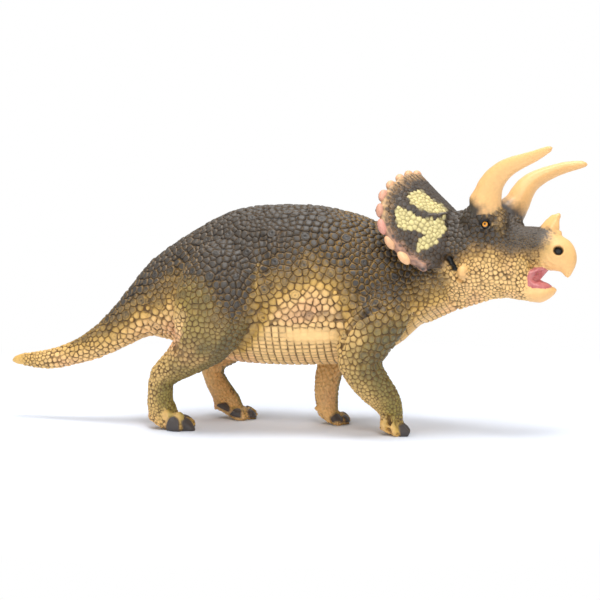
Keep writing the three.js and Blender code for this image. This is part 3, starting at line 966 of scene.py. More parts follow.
@dataclass(frozen=True)
class Toe:
    """A hoof or a toe pad: a rounded wedge that points forward and down."""

    place: Place
    heading: float
    dip: float
    size: Place
    horny: bool = True
    # Height below which a hoof is as pale as the foot
    sole: float = 0.0

    def axes(self) -> Array:
        """The toe's axes as the columns of a matrix: forward, left and up."""
        turn, dip = math.radians(self.heading), math.radians(self.dip)
        return np.array(Matrix.Rotation(turn, 3, "Z") @ Matrix.Rotation(dip, 3, "Y"))

    def inside(self, points: Array) -> Array:
        """Points in the toe's frame, where its surface is the unit ball."""
        return ((points - self.place) @ self.axes()) / self.size

    def shape(self) -> Shape:
        """The toe as points and triangles.

        Returns:
            A ball, or for a hoof a blunt wedge with flat sides that narrows to the front.
        """
        work = bmesh.new()
        bmesh.ops.create_icosphere(work, subdivisions=3, radius=1.0)
        points, triangles = as_arrays(work)
        if self.horny:
            points = np.sign(points) * np.abs(points) ** 0.62
            points[:, 1] *= 1.0 - 0.35 * ease(-0.2, 1.0, points[:, 0])
            points[:, 2] *= 1.0 - 0.4 * ease(-0.5, 1.0, points[:, 0])
        return (points * self.size) @ self.axes().T + self.place, triangles


@dataclass
class Feet:
    """The hooves and toes, and the heels that leave the floor."""

    toes: tuple[Toe, ...] = (
        Toe((-38.5, -19.2, 2.0), -44.0, 30.0, (3.2, 2.5, 2.6)),
        Toe((-34.7, -17.4, 1.9), -14.0, 30.0, (4.3, 2.9, 2.5)),
        Toe((-36.0, -11.2, 1.8), 14.0, 26.0, (3.4, 2.4, 2.3)),
        Toe((-37.4, -8.2, 1.8), 42.0, 24.0, (2.8, 2.1, 2.3)),
        Toe((-36.4, -18.9, 5.2), -20.0, 30.0, (2.5, 1.6, 1.9), False),
        Toe((-40.4, -18.6, 5.4), -60.0, 20.0, (2.3, 1.8, 2.0), False),
        Toe((-26.4, 8.4, 3.0), -46.0, 30.0, (2.8, 2.2, 2.3), True, 2.1),
        Toe((-21.6, 8.0, 2.0), -16.0, 26.0, (3.0, 2.3, 2.2), True, 1.1),
        Toe((-17.2, 11.4, 1.5), 8.0, 26.0, (3.2, 2.1, 2.0), True, 0.4),
        Toe((-19.0, 16.2, 1.6), 40.0, 24.0, (2.8, 2.1, 2.1)),
        Toe((36.3, -17.3, 3.0), -62.0, 50.0, (2.8, 1.7, 2.0), False),
        Toe((39.8, -18.2, 2.9), -40.0, 50.0, (3.1, 1.8, 2.0), False),
        Toe((42.6, -16.4, 1.7), -22.0, 26.0, (3.0, 2.3, 2.1)),
        Toe((42.0, -11.6, 1.9), 14.0, 26.0, (2.9, 2.3, 2.4)),
        Toe((39.4, -8.6, 1.9), 50.0, 26.0, (2.5, 1.9, 2.1)),
        Toe((9.3, 3.4, 4.2), -90.0, 60.0, (2.2, 1.5, 1.6), False),
        Toe((12.4, 3.0, 3.0), -60.0, 50.0, (2.6, 1.4, 1.7), False),
        Toe((16.0, 3.2, 2.1), -30.0, 30.0, (2.6, 1.7, 2.2), True, 0.9),
        Toe((18.6, 6.0, 1.6), -4.0, 28.0, (2.7, 1.9, 1.8), True, 0.6),
        Toe((17.4, 10.8, 1.8), 40.0, 26.0, (2.5, 2.0, 2.1)),
    )
    # Lifted heels: the leg, the X where the lift starts and where it is full, and its height
    lifts: tuple[tuple[str, float, float, float], ...] = (
        ("hind_leg_right", -40.5, -49.5, 3.4),
        ("hind_leg_left", -21.0, -29.0, 3.0),
        ("fore_leg_right", 41.0, 34.0, 1.8),
        ("fore_leg_left", 15.5, 8.5, 3.0),
    )

    def shapes(self) -> list[Shape]:
        """The closed shapes that the skin wraps with the CAD solids."""
        return [toe.shape() for toe in self.toes]

    def hoof(self, points: Array) -> Array:
        """How much each point belongs to a dark hoof."""
        return self._near(points, True)

    def bare(self, points: Array) -> Array:
        """How much each point belongs to a hoof or a smooth toe."""
        return np.maximum(self._near(points, True), 0.7 * self._near(points, False))

    def _near(self, points: Array, horny: bool) -> Array:
        """How much each point belongs to the toes of one kind.

        Args:
            points: Points, one a row.
            horny: Whether hooves are meant, and not smooth toes.

        Returns:
            A share from 0 to 1 for each.
        """
        share = np.zeros(len(points))
        low = points[:, 2] < 10.0
        for toe in self.toes:
            if toe.horny is horny:
                local = toe.inside(points[low])
                ball = ease(1.34, 1.24, norm(local, axis=1)) * ease(-0.6, -0.35, local[:, 0])
                rim = ease(toe.sole - 0.2, toe.sole + 0.2, points[low, 2])
                share[low] = np.maximum(share[low], ball * np.where(toe.sole > 0.0, rim, 1.0))
        return share

    def folds(self, ground: Ground) -> Array:
        """How far the borders of the hooves press the skin in."""
        share = self.hoof(ground.points)
        return -2.0 * share * (1.0 - share) + 0.12 * share

    def lifted(self, points: Array, ground: Ground) -> Array:
        """The points with the heels rounded up off the floor.

        Args:
            points: The skin's points.
            ground: The skin.

        Returns:
            The new points.
        """
        raised = points.copy()
        low = ease(9.0, 0.0, points[:, 2])
        for name, start, full, height in self.lifts:
            raised[:, 2] += height * ease(start, full, points[:, 0]) * ground.share(name) * low
        return raised


@dataclass(frozen=True)
class Fold:
    """A crease or a ridge of the hide along a line, drawn on the right side."""

    path: tuple[Place, ...]
    height: float
    width: float
    stride: float = 0.0


# How much farther forward the left foot of each pair stands than the right one
HIND_STRIDE = 18.5
FORE_STRIDE = -27.0


@dataclass
class Body:
    """Sizes, folds and paint of the torso, the tail and the legs."""

    back_scale: float = 2.75
    neck_scale: float = 2.0
    foot_scale: float = 1.4
    scute_length: float = 2.55
    scute_turn: float = 4.4
    # Degrees to each side of straight down over which the scutes are looked for
    scute_sweep: float = 110.0
    # Sprayed charcoal along the body: X, then the heights of half cover and of the spray's end
    charcoal_edge: tuple[Place, ...] = (
        (-105, 42, 40), (-88, 34, 31), (-79, 31, 28), (-74, 32, 29), (-69, 34, 31), (-64, 36, 32),
        (-59, 39, 35), (-55, 42, 39), (-50, 45, 42), (-45, 47, 43), (-40, 50, 46), (-33, 52, 47),
        (-29, 51, 38), (-24, 46, 32), (-14, 36, 28), (-10, 44, 33), (-7, 53, 38), (-4, 53, 43),
        (0, 54, 50), (4, 55, 52), (9, 58, 54), (13, 59, 55), (17, 56, 53), (21, 55, 49),
        (25, 50, 37), (30, 40, 34), (34, 42, 35), (42, 45, 38), (48, 52, 45), (57, 55, 50),
        (61, 58, 53), (66, 63, 58),
    )
    spray_depth: float = 10.0
    creases: tuple[Fold, ...] = (
        Fold(((-6.4, 20.2, 69.6), (-5.1, 23, 65), (-4.2, 24.3, 61.6), (-4.6, 25.4, 58.2)), -0.85, 1.0),
        Fold(((-4.6, 25.4, 58.2), (-3.2, 25.8, 54.8), (-2.4, 26.2, 51.4)), -0.45, 1.1),
        Fold(((-0.5, 19.5, 71), (0.4, 22.5, 66.7), (0, 23.8, 63.4)), -0.7, 1.1),
        Fold(((6, 21.5, 71), (7, 24, 64), (7.5, 25, 57)), -0.35, 1.4),
        Fold(((-7, 24.5, 60.5), (-7.1, 25.6, 54.7), (-7, 26, 48.2)), 0.55, 1.2),
        Fold(((-6.7, 26, 47.8), (-5.4, 25.4, 41.5), (-9.5, 22.7, 35.1), (-14.8, 17.7, 29.1)), -0.9, 1.0),
        Fold(
            ((-29.9, 13.2, 67.9), (-20.2, 16.8, 70.5), (-12.5, 19.4, 69.4), (-7.3, 22.9, 64.9)),
            -0.5, 2.0,
        ),
        Fold(((4.4, 25.2, 40.3), (7.9, 25.2, 41.4), (14.8, 24.4, 41.8), (21.6, 22.9, 40.4)), -0.5, 0.7),
        Fold(
            ((35.3, 26.1, 46.2), (31.2, 26.7, 44.1), (26.7, 26.2, 40.5), (24.1, 25.2, 37.2)),
            -1.3, 0.75,
        ),
        Fold(((24.1, 25.2, 37.2), (22.3, 24.8, 32.2)), -1.2, 0.75),
        Fold(((26.8, 20.3, 61.1), (25.7, 22.2, 55), (27.8, 22.2, 49.5), (33.1, 24.9, 47.8)), -0.45, 1.6),
        Fold(((47, 20, 55), (48, 18, 47), (46, 15, 40)), -0.5, 1.6),
        Fold(((-40.2, 20, 46.7), (-35.9, 23, 41.8), (-32.6, 25, 38.6)), -1.2, 0.9),
        Fold(((-32.6, 25, 38.6), (-33.7, 25, 35), (-36.9, 23, 29.6)), -1.2, 0.9),
        Fold(((-47, 12, 58), (-43, 17, 50), (-40, 19, 42), (-41, 18, 34)), -0.8, 1.4),
        Fold(((23.8, 25.8, 26.8), (29.2, 26.7, 25.7), (35, 23.2, 25.4)), -0.9, 0.9, FORE_STRIDE),
        Fold(((26.5, 25.8, 28.6), (31, 26.4, 28), (35.5, 23.5, 28)), -0.4, 0.7, FORE_STRIDE),
        Fold(((35.4, 19.6, 9.2), (40, 19.2, 9.2), (44, 16, 9.6)), -0.35, 0.6, FORE_STRIDE),
        Fold(((35.4, 19, 7.2), (39.6, 18.8, 7.4), (44, 15, 7.6)), -0.35, 0.6, FORE_STRIDE),
        Fold(((-31.9, 29.2, 41.4), (-28.2, 29.9, 38.8), (-24.7, 29.6, 35.3)), -0.5, 1.2, HIND_STRIDE),
        Fold(((-35.5, 24.6, 31.3), (-38.9, 22.1, 25.6), (-41, 20.9, 21.1)), -0.3, 1.4, HIND_STRIDE),
        Fold(((38.1, 18.6, 6.4), (38.1, 18.6, 3.5), (38.4, 18.8, 0.5)), -1.6, 0.55, FORE_STRIDE),
        Fold(((40.9, 17.7, 5.0), (41.3, 19, 2.5), (41.6, 19.4, 0.2)), -1.3, 0.55, FORE_STRIDE),
        Fold(((35.2, 19.6, 6.6), (38.0, 19.6, 7.0), (42, 18.6, 5.6)), -0.8, 0.5, FORE_STRIDE),
    )
    # Balls that the skin under the throat is drawn round: middle and radius, back and front
    throat_balls: tuple[tuple[Ball, ...], ...] = (
        (((49.3, -3.0, 41.4), 3.5), ((54.0, -4.0, 43.8), 3.5), ((58.6, -5.0, 45.7), 3.3)),
        (((58.6, -5.0, 45.7), 3.3), ((64.0, -6.2, 47.7), 3.0), ((72.0, -8.0, 49.4), 2.4)),
    )
    # Where the back of the right thigh meets the tail: height and X
    thigh_back: tuple[Pair, ...] = (
        (29.6, -36.9), (32.5, -35.5), (35, -33.7), (38.6, -32.6), (41.8, -35.9), (44.6, -39.1),
        (46.7, -40.2),
    )
    # Golden ridge in front of the thigh, drawn on the left side
    flank_ridge: tuple[Place, ...] = ((-7, 24.5, 60.5), (-7.1, 25.6, 54.7), (-7, 26, 46))
    # Row of raised scales above the belly, drawn on the left side
    flank_row: tuple[Place, ...] = ((2, 24.6, 42.4), (12, 24.6, 43.2), (22, 23, 42.2))
    # Ribs that show faintly under the hide: distance between two, and their height
    rib_gap: float = 9.5
    rib_height: float = 0.22

    def shapes(self) -> list[Shape]:
        """The closed shapes that the skin wraps with the CAD solids."""
        return [hull_of(balls) for balls in self.throat_balls]

    def behind_thigh(self, points: Array) -> Array:
        """How far each point near the right thigh lies behind it, on the tail's side.

        Args:
            points: Points, one a row.

        Returns:
            A share from 0 to 1 for each.
        """
        heights, backs = np.array(self.thigh_back, dtype=float).T
        back = np.interp(points[:, 2], heights, backs)
        right = ease(-8.0, -12.0, points[:, 1]) * ease(28.5, 30.5, points[:, 2])
        soft = 0.5 + 9.0 * ease(38.0, 43.0, points[:, 2])
        return right * ease(back + soft, back - 1.0, points[:, 0])

    def spacing(self, ground: Ground) -> Array:
        """Distance between neighbouring scales, coarse on the back and fine on neck and feet.

        Args:
            ground: The skin.

        Returns:
            Millimetres at each point.
        """
        x, _, z = ground.points.T
        torso = self.back_scale + (self.neck_scale - self.back_scale) * ease(38.0, 50.0, x)
        tail = self.back_scale * (1.0 - 0.42 * ease(-62.0, -100.0, x))
        hind = self.foot_scale + (self.back_scale - self.foot_scale) * ease(12.0, 60.0, z)
        fore = self.foot_scale + (self.back_scale - self.foot_scale) * ease(10.0, 38.0, z)
        gap = np.where(ground.on("tail"), tail, torso)
        gap = np.where(ground.on(*LEGS[:2]), hind, gap)
        return np.where(ground.on(*LEGS[2:]), fore, gap)

    def belly_share(self, points: Array, normals: Array) -> Array:
        """How much each point of the torso belongs to the belly's square scutes.

        Args:
            points: Points, one a row.
            normals: The outward direction at each.

        Returns:
            A share from 0 to 1 for each.
        """
        x, y, z = points.T
        along = ease(-40.0, -34.0, x) * ease(50.0, 44.0, x)
        edge = 37.5 + 8.0 * ease(32.0, 48.0, x)
        inside = ease(25.5, 24.0, np.abs(y - MIDDLE_Y))
        return along * inside * ease(edge + 1.0, edge - 1.0, z) * ease(0.35, -0.1, normals[:, 2])

    def throat_share(self, points: Array, normals: Array) -> Array:
        """How much each point belongs to the rows of small scutes under the neck and the chin.

        Args:
            points: Points, one a row.
            normals: The outward direction at each.

        Returns:
            A share from 0 to 1 for each.
        """
        x, _, z = points.T
        along = ease(44.0, 46.0, x) * ease(72.0, 69.0, x)
        edge = np.interp(x, (44.0, 58.0, 66.0, 80.0), (40.0, 46.0, 48.0, 47.0))
        return along * ease(edge + 0.8, edge - 0.8, z) * ease(0.2, -0.2, normals[:, 2])

    def scute_rows(self, tree: BVHTree) -> Array:
        """Centres of the scutes that stand in rows, found by looking out from lines inside.

        Args:
            tree: The skin.

        Returns:
            The centres.
        """
        places = []
        runs = (
            (
                (-42.0, MIDDLE_Y, 47.0), (50.0, MIDDLE_Y, 47.0),
                self.scute_length, self.scute_turn, self.belly_share,
            ),
            ((44.0, MIDDLE_Y, 50.0), (80.0, -3.5, 62.0), 1.75, 8.5, self.throat_share),
        )
        for start, end, length, turn, belongs in runs:
            way = Vector(end) - Vector(start)
            axis = way.normalized()
            down = Vector((0.0, 0.0, -1.0))
            down = (down - axis * down.dot(axis)).normalized()
            for i in range(int(way.length / length) + 1):
                foot = Vector(start) + axis * (i * length)
                for k in range(-int(self.scute_sweep / turn), int(self.scute_sweep / turn) + 1):
                    look = Matrix.Rotation(math.radians(k * turn), 3, axis) @ down
                    hit, normal, _, _ = tree.ray_cast(foot, look)
                    if hit is None:
                        continue
                    if belongs(np.array([hit[:]]), np.array([normal[:]]))[0] >= 0.5:
                        places.append(hit[:])
        rows = np.array(places)
        owner = nearest_node(NODES, rows)
        return rows[owner < len(TORSO)]

    def folds(self, ground: Ground) -> Array:
        """How far folds and creases press the skin in.

        Args:
            ground: The skin.

        Returns:
            Millimetres along the normal at each point, negative for a groove.
        """
        push = np.zeros(len(ground.points))
        for side in Side:
            for fold in self.creases:
                far = line_distance(ground.points, on_side(fold.path, side, fold.stride))
                push += fold.height * bell(far, fold.width)
        x, _, z = ground.points.T
        trunk = ground.share(*TORSO) * ease(44.0, 36.0, x) * ease(-30.0, -20.0, x)
        ribs = np.sin((x + 0.25 * (z - 50.0)) * 2.0 * math.pi / self.rib_gap)
        push += self.rib_height * ribs * trunk * swell(ground.points[:, [2]], (60.0,), (13.0,))
        push += 0.1 * self.wrinkles(ground) * self.inner_share(ground)
        return push * ease(2.0, -2.0, ground.head[:, 0])

    def outward(self, ground: Ground) -> Array:
        """How much each point faces away from the figure's middle plane."""
        away = np.tanh((ground.points[:, 1] - MIDDLE_Y) / 2.0)
        return ease(-0.7, 0.0, ground.normals[:, 1] * away)

    def inner_share(self, ground: Ground) -> Array:
        """How much each point belongs to the wrinkled inner sides of the legs."""
        inner = ground.share(*LEGS) * (1.0 - self.outward(ground))
        return inner * ease(38.0, 30.0, ground.points[:, 2])

    def wrinkles(self, ground: Ground) -> Array:
        """Fine upright wrinkles, as a wave from about -1 to 1."""
        return ripple(ground.points * (2.0, 2.0, 0.8), 2.4, 12)

    def squared(self, ground: Ground) -> Array:
        """How deep the belly's scutes are parted along the body, most of all low down."""
        return 0.22 + 0.5 * ease(37.0, 31.0, ground.points[:, 2] - 0.15 * ground.points[:, 0])

    def smooth_share(self, ground: Ground) -> Array:
        """Where scales are low: on a patch of the flank, inside the legs and at the tail's tip.

        Args:
            ground: The skin.

        Returns:
            How far they are flattened at each point, from 0 to 1.
        """
        flank = np.zeros(len(ground.points))
        for side in Side:
            spot = (12.0, MIDDLE_Y + 23.0 * side.value, 34.6)
            flank = np.maximum(flank, swell(ground.points, spot, (9.0, 9.0, 2.4)))
        flank = np.clip(1.5 * flank - 0.25, 0.0, 0.75) * ground.share(*TORSO)
        tip = ease(-98.5, -102.0, ground.points[:, 0])
        return np.maximum(np.maximum(flank, tip), 0.2 * self.inner_share(ground))

    def paint(self, ground: Ground, centres: Array) -> Shares:
        """The sprayed and brushed colours of the body as shares.

        Args:
            ground: The skin.
            centres: The middle of each point's scale.

        Returns:
            Shares by name.
        """
        where = 0.55 * ground.points + 0.45 * centres
        x, _, z = where.T
        wobble = 1.4 * ripple(where, 16.0, 3) + 0.8 * ripple(where, 5.0, 4)
        edge_x, half, end = np.array(self.charcoal_edge, dtype=float).T
        half, end = np.interp(x, edge_x, half), np.interp(x, edge_x, end)
        level = z + wobble
        coat = 0.5 * ease(end - 1.0, half, level) + 0.5 * ease(half, half + self.spray_depth, level)
        above = level - half
        outside = self.outward(ground)
        front = ease(-0.6, 0.6, ground.normals[:, 0] + 0.15 * ripple(where, 8.0, 6))
        behind = self.behind_thigh(where)
        legs = ground.share(*LEGS) * (1.0 - behind)
        hind = ground.share(*LEGS[:2]) * (1.0 - behind)
        lower = legs * ease(46.0, 36.0, z)
        thigh = hind * outside * ease(62.0, 50.0, z) * ease(24.0, 34.0, z)
        leg_coat = outside * (0.02 + 0.44 * front) * ease(6.0, 30.0, z)
        coat = coat * (1.0 - lower) + lower * np.maximum(0.8 * coat * outside, leg_coat)
        coat = coat * (1.0 - 0.4 * thigh * (1.0 - front))
        gold = ease(end - 7.0, end + 2.0, level) * (1.0 - lower)
        gold = gold + lower * outside * (0.3 + 0.6 * front)
        inner = self.inner_share(ground)
        gold = np.maximum(gold, 0.5 * inner * ease(16.0, 26.0, z))
        olive = lower * outside * (0.25 + 0.75 * front) * ease(0.0, 8.0, z)
        olive = np.maximum(olive, 0.75 * thigh * ease(0.9, 0.3, front))
        gold = gold + 0.7 * ease(-82.0, -102.0, x)
        belly = ease(-4.0, -16.0, above)
        streak = ease(0.3, -0.9, self.wrinkles(ground))
        under_tail = (ground.share("tail") + behind) * ease(-4.0, -14.0, above) * ease(-95.0, -70.0, x)
        shoulder = ease(12.0, 24.0, x) * ease(60.0, 52.0, x)
        row = np.zeros(len(x))
        for side in Side:
            mirror = np.array((1.0, side.value, 1.0))
            row = np.maximum(row, bell(line_distance(where, self.flank_row * mirror), 1.3))
            ridge = bell(line_distance(where, self.flank_ridge * mirror), 1.1)
            coat = coat * (1.0 - 0.6 * ridge)
        return {
            "coat": limit(coat + 0.35 * row * ground.share(*TORSO)),
            "gold": limit(gold),
            "olive": limit(olive),
            "blush": 0.5 * ease(-0.2, 1.0, ripple(where, 22.0, 9)) * belly,
            "brown": limit(inner * (0.26 + 0.14 * streak) + 0.15 * under_tail * streak),
            "ochre": limit(0.2 + 0.8 * bell(above, 11.0) + 0.75 * shoulder),
        }


@dataclass
class Face:
    """Sizes, folds and paint of the skull, the frill, the jaw and the horns, in the head's frame."""

    frame: HeadFrame = field(default_factory=HeadFrame)
    eye: Place = (14.8, 13.8, 7.6)
    # Socket, lids and grooves round the eye: height, distance from its middle, and width
    lids: tuple[Place, ...] = ((-1.0, 0.0, 1.7), (0.5, 2.3, 0.45), (-0.3, 3.3, 0.4), (0.3, 4.1, 0.6))
    nostril: Place = (39.0, 4.8, 0.5)
    nostril_radius: float = 1.5
    cheek_knob: Place = (8.0, 13.8, -9.0)
    knob_reach: Place = (1.8, 2.6, 2.9)
    # Pale patches on the front of the frill, as outlines in the head's X and Z
    pale_outlines: tuple[tuple[Pair, ...], ...] = (
        (
            (-13, 16), (-12.5, 18.5), (-11, 19.5), (-9, 18.5), (-7.5, 17.5), (-5, 16), (-3, 15),
            (-1, 13.5), (-1.5, 12), (-3.5, 11), (-6.5, 11), (-8.5, 12), (-11, 13.5),
        ),
        (
            (-14.5, 9.5), (-14, 11.5), (-12, 11.5), (-9, 9.5), (-6, 8.5), (-3, 9), (-1, 10.5), (0, 7),
            (0.5, 5), (-0.5, 3.5), (-1.5, -0.5), (-3, -2), (-4.5, -3), (-6, -3.5), (-7, -2), (-6.5, 0),
            (-5, 3), (-8, 4), (-11, 3.5), (-13, 4.5), (-14, 7.5),
        ),
    )
    # Rim of the frill from the crest down the left side
    rim: tuple[Place, ...] = (
        (-16.1, 0.0, 26.2), (-16.9, 6.6, 25.1), (-17.9, 12.7, 22.8), (-19.0, 18.5, 19.4),
        (-19.6, 23.5, 14.9), (-19.2, 26.4, 9.3), (-17.6, 27.3, 3.6), (-14.6, 26.6, -1.8),
        (-9.8, 24.8, -6.6), (-3.7, 21.8, -9.3),
    )
    # Ridge across the front of the frill, from the brow outwards
    ridge: tuple[Place, ...] = (
        (-14.1, 20.4, 14.1), (-10.0, 18.8, 11.0), (-6.0, 16.0, 9.4), (-2.8, 12.6, 10.1),
        (0.0, 9.0, 11.8),
    )
    # Lower edge of the sprayed charcoal along the head, as X and Z
    charcoal_edge: tuple[Pair, ...] = (
        (-25, -7), (-5, -4.5), (3, -2.5), (7, -1), (11, 1), (16, 1.5), (21, 1), (26, 0.5), (31, 0.5),
        (34, 2), (36, 4), (38, 8),
    )
    # Balls that the nose horn is drawn round: middle and radius
    horn_balls: tuple[Ball, ...] = (
        ((38.4, 0.0, 13.5), 1.1), ((37.9, 0.0, 8.0), 1.1), ((30.4, 0.0, 8.0), 1.3),
        ((35.4, 1.8, 7.6), 1.2), ((35.4, -1.8, 7.6), 1.2),
    )
    # Bends of the skin: middle, radii, way and length, and the solid that is bent
    bends: tuple[tuple[Place, Place, Place, str], ...] = (
        ((34.4, 0.0, -9.0), (3.0, 9.0, 2.4), (-1.8, 0.0, 1.2), "mouth_lining"),
        ((38.5, 0.0, 12.5), (7.0, 5.0, 7.0), (-1.8, 0.0, 0.0), "nose_horn"),
    )

    def shapes(self) -> list[Shape]:
        """The closed shapes that the skin wraps with the CAD solids."""
        points, triangles = hull_of(self.horn_balls)
        return [(self.frame.outside(points), triangles)]

    def both(self, points: Array) -> Array:
        """Points of the head folded over to its left side."""
        return np.column_stack((points[:, 0], np.abs(points[:, 1]), points[:, 2]))

    def bare(self, ground: Ground) -> Array:
        """Where there are no scales: the beak, the horns, the lining and the cheek knobs.

        Args:
            ground: The skin.

        Returns:
            A share from 0 to 1 for each point.
        """
        lx, _, lz = ground.head.T
        skull = ease(31.5, 37.5, lx + 0.12 * np.abs(lz - 1.0)) * ground.share("skull")
        jaw = ease(27.0, 32.0, lx) * ground.share("lower_jaw")
        knob = swell(self.both(ground.head), self.cheek_knob, self.knob_reach) * 1.6
        smooth = np.maximum(np.maximum(skull, jaw), limit(knob - 0.4))
        rim = ease(2.8, 1.6, line_distance(self.both(ground.head), self.rim)) * ground.share("frill")
        smooth = np.maximum(smooth, rim)
        return np.maximum(smooth, ease(0.25, 0.7, ground.share(*HORNS, "mouth_lining")))

    def spacing(self, ground: Ground, neck: float) -> Array:
        """Distance between neighbouring scales: fine on cheek and snout, coarser round the eye.

        Args:
            ground: The skin.
            neck: The distance on the neck.

        Returns:
            Millimetres at each point, and no number off the head.
        """
        lx, _, lz = ground.head.T
        coarse = ease(22.0, 14.0, lx) * ease(-1.0, 4.0, lz)
        skull = 1.65 + 0.5 * coarse - 0.3 * ease(20.0, 27.0, lx)
        skull = skull - 0.35 * ease(19.0, 26.0, lx) * ease(-4.0, 0.0, lz)
        gap = np.where(ground.on("skull", "lower_jaw"), skull, np.nan)
        gap = np.where(ground.on("frill"), 1.8, gap)
        return np.where(ground.on(*HORNS, "mouth_lining"), neck, gap)

    def rise(self, ground: Ground) -> Array:
        """How high scales stand on the head.

        Args:
            ground: The skin.

        Returns:
            Shares of the height that they have on the body.
        """
        front = ease(-0.1, 0.25, ground.head_normals[:, 0]) * ground.share("frill")
        patch = self.patches(self.both(ground.head)) * front
        snout = ease(20.0, 28.0, ground.head[:, 0]) * ease(-4.0, 0.0, ground.head[:, 2])
        return (1.0 - 0.75 * front + 0.4 * patch) * (1.0 - 0.3 * snout)

    def folds(self, ground: Ground) -> Array:
        """How far the face's features press the skin in or raise it.

        Args:
            ground: The skin.

        Returns:
            Millimetres along the normal at each point, negative for a groove.
        """
        p = self.both(ground.head)
        push = np.zeros(len(p))
        away = norm((p - self.nostril)[:, [0, 2]], axis=1)
        side = p[:, 1] > 2.6
        hole = self.nostril_radius
        push -= np.where(side, 2.0 * ease(hole + 0.25, hole - 0.5, away), 0.0)
        push += np.where(side, 0.25 * bell(away - hole - 0.7, 0.5), 0.0)
        wrinkle = np.cos((away - 3.2) * 2.0 * math.pi / 1.7) * ease(2.6, 3.4, away)
        wrinkle = wrinkle * ease(9.0, 5.5, away)
        behind = ease(39.0, 36.0, p[:, 0]) * ease(4.0, 1.0, p[:, 2])
        push += np.where(side, 0.14 * wrinkle * behind, 0.0)
        gaze = norm((p - self.eye) * (0.8, 1.0, 1.2), axis=1)
        for height, reach, width in self.lids:
            push += height * bell(gaze - reach, width)
        push += 0.9 * swell(p, self.cheek_knob, self.knob_reach)
        marks = (
            (((2.0, 12.4, -4.4), (2.9, 12, -6.0), (4.5, 11.5, -8.5), (6.1, 9.9, -11.7)), -1.9, 0.75),
            (((-1.5, 14.5, -3.5), (1.0, 13.0, -3.6), (2.2, 12.4, -4.2)), -0.5, 0.8),
            (((6.9, 12.6, -2.4), (9.3, 12.6, -0.6), (11.6, 12.1, 0.9), (15.0, 11.0, 1.6)), 0.4, 0.8),
            (((9.3, 6.5, -15.3), (13.9, 5.0, -15.6), (20.0, 3.2, -15.6)), -0.6, 0.8),
            (((28.0, 7.0, -3.0), (27.0, 7.4, -6.5), (28.5, 6.6, -10.5)), -0.5, 0.9),
            (((24.5, 8.0, -2.5), (23.5, 8.6, -7.0), (25.0, 7.6, -11.5)), -0.3, 0.9),
            (self.ridge, 0.7, 0.9),
        )
        for path, height, width in marks:
            push += height * bell(line_distance(p, path), width)
        fan = np.cos(np.arctan2(p[:, 2] - 4.0, p[:, 1]) * 46.0) * ground.share("frill")
        margin = line_distance(p, self.rim)
        push += 0.1 * fan * ease(7.0, 4.5, margin) * ease(1.5, 2.5, margin)
        return push * ease(-27.0, -25.0, ground.head[:, 0])

    def bent(self, points: Array, ground: Ground) -> Array:
        """The points with the corner of the mouth opened and the nose horn bent back.

        Args:
            points: The skin's points.
            ground: The skin.

        Returns:
            The new points.
        """
        for middle, radii, way, name in self.bends:
            share = swell(self.both(ground.head), middle, radii) * ease(0.1, 0.6, ground.share(name))
            points = points + (share[:, None] * way) @ self.frame.axes().T
        return points

    def patches(self, folded: Array) -> Array:
        """Where the pale blotches of the frill lie.

        Args:
            folded: Points of the head, folded over to its left side.

        Returns:
            A share from 0 to 1 for each.
        """
        share = np.zeros(len(folded))
        for outline in self.pale_outlines:
            depth = outline_depth(folded[:, [0, 2]], outline) + 0.25 * ripple(folded, 3.0, 21)
            share = np.maximum(share, ease(-0.25, 0.25, depth))
        return share

    def paint(self, ground: Ground, centres: Array) -> Shares:
        """The sprayed and brushed colours of the head as shares.

        Args:
            ground: The skin.
            centres: The middle of each point's scale.

        Returns:
            Shares by name.
        """
        own = self.both(ground.head)
        middle = self.both(self.frame.inside(centres))
        where = 0.5 * own + 0.5 * middle
        lx, _, lz = where.T
        bare = self.bare(ground)
        line = np.interp(lx, *np.array(self.charcoal_edge, dtype=float).T)
        wobble = 0.9 * ripple(where, 7.0, 31) + 0.4 * ripple(where, 3.0, 32)
        above = lz - line + wobble
        horn = ground.share(*HORNS)
        snout = own[:, 0] + 0.3 * (2.0 - own[:, 2]) + 0.5 * ripple(own, 3.0, 33)
        coat = ease(-5.0, 1.8, above) * ease(38.5, 30.0, snout)
        coat = coat * (1.0 - 0.7 * swell(own, (19.5, 10.5, 9.5), (2.0, 4.0, 5.0)))
        coat = coat * (1.0 - 0.6 * swell(own, (17.0, 14.0, 7.4), (1.6, 2.0, 1.2)))
        frill = ground.share("frill")
        front = ease(-0.1, 0.25, ground.head_normals[:, 0])
        margin = line_distance(own, self.rim) + 0.6 * ripple(own, 4.0, 41)
        rim = ease(5.4, 2.4, margin) * frill
        fan = 0.5 + 0.5 * ripple(np.arctan2(own[:, [2]] - 4.0, own[:, [1]]) * 40.0 * np.ones(3), 4.0, 42)
        patch = self.patches(0.3 * own + 0.7 * middle) * front * frill
        coat = coat * (1.0 - frill) + frill * (0.9 - rim * (0.08 + 0.3 * limit(fan)))
        dust = np.zeros(len(own))
        roots = (
            ("brow_horn_right", (13.1, 10.6, 13.6), (0.29, 0.35, 0.89), (5.6, 0.2), 0.95, 0.8),
            ("brow_horn_left", (14.3, 10.6, 13.5), (0.46, 0.25, 0.85), (10.0, 0.6), 1.0, 0.0),
            ("nose_horn", (33.7, 0.0, 7.6), (0.35, 0.0, 0.94), (4.0, -0.5), 0.5, 0.7),
        )
        for name, root, way, (top, foot), depth, behind in roots:
            along = (own - root) @ way + 0.5 * ripple(own, 4.0, 51)
            fall = depth * ease(top, foot, along)
            fall = fall * (1.0 - behind * ease(-2.0, 3.5, own[:, 0] - root[0] - 0.4 * along))
            dust = dust + fall * ground.share(name)
        coat = coat * (1.0 - horn) + dust
        away = norm((own - self.nostril)[:, [0, 2]], axis=1)
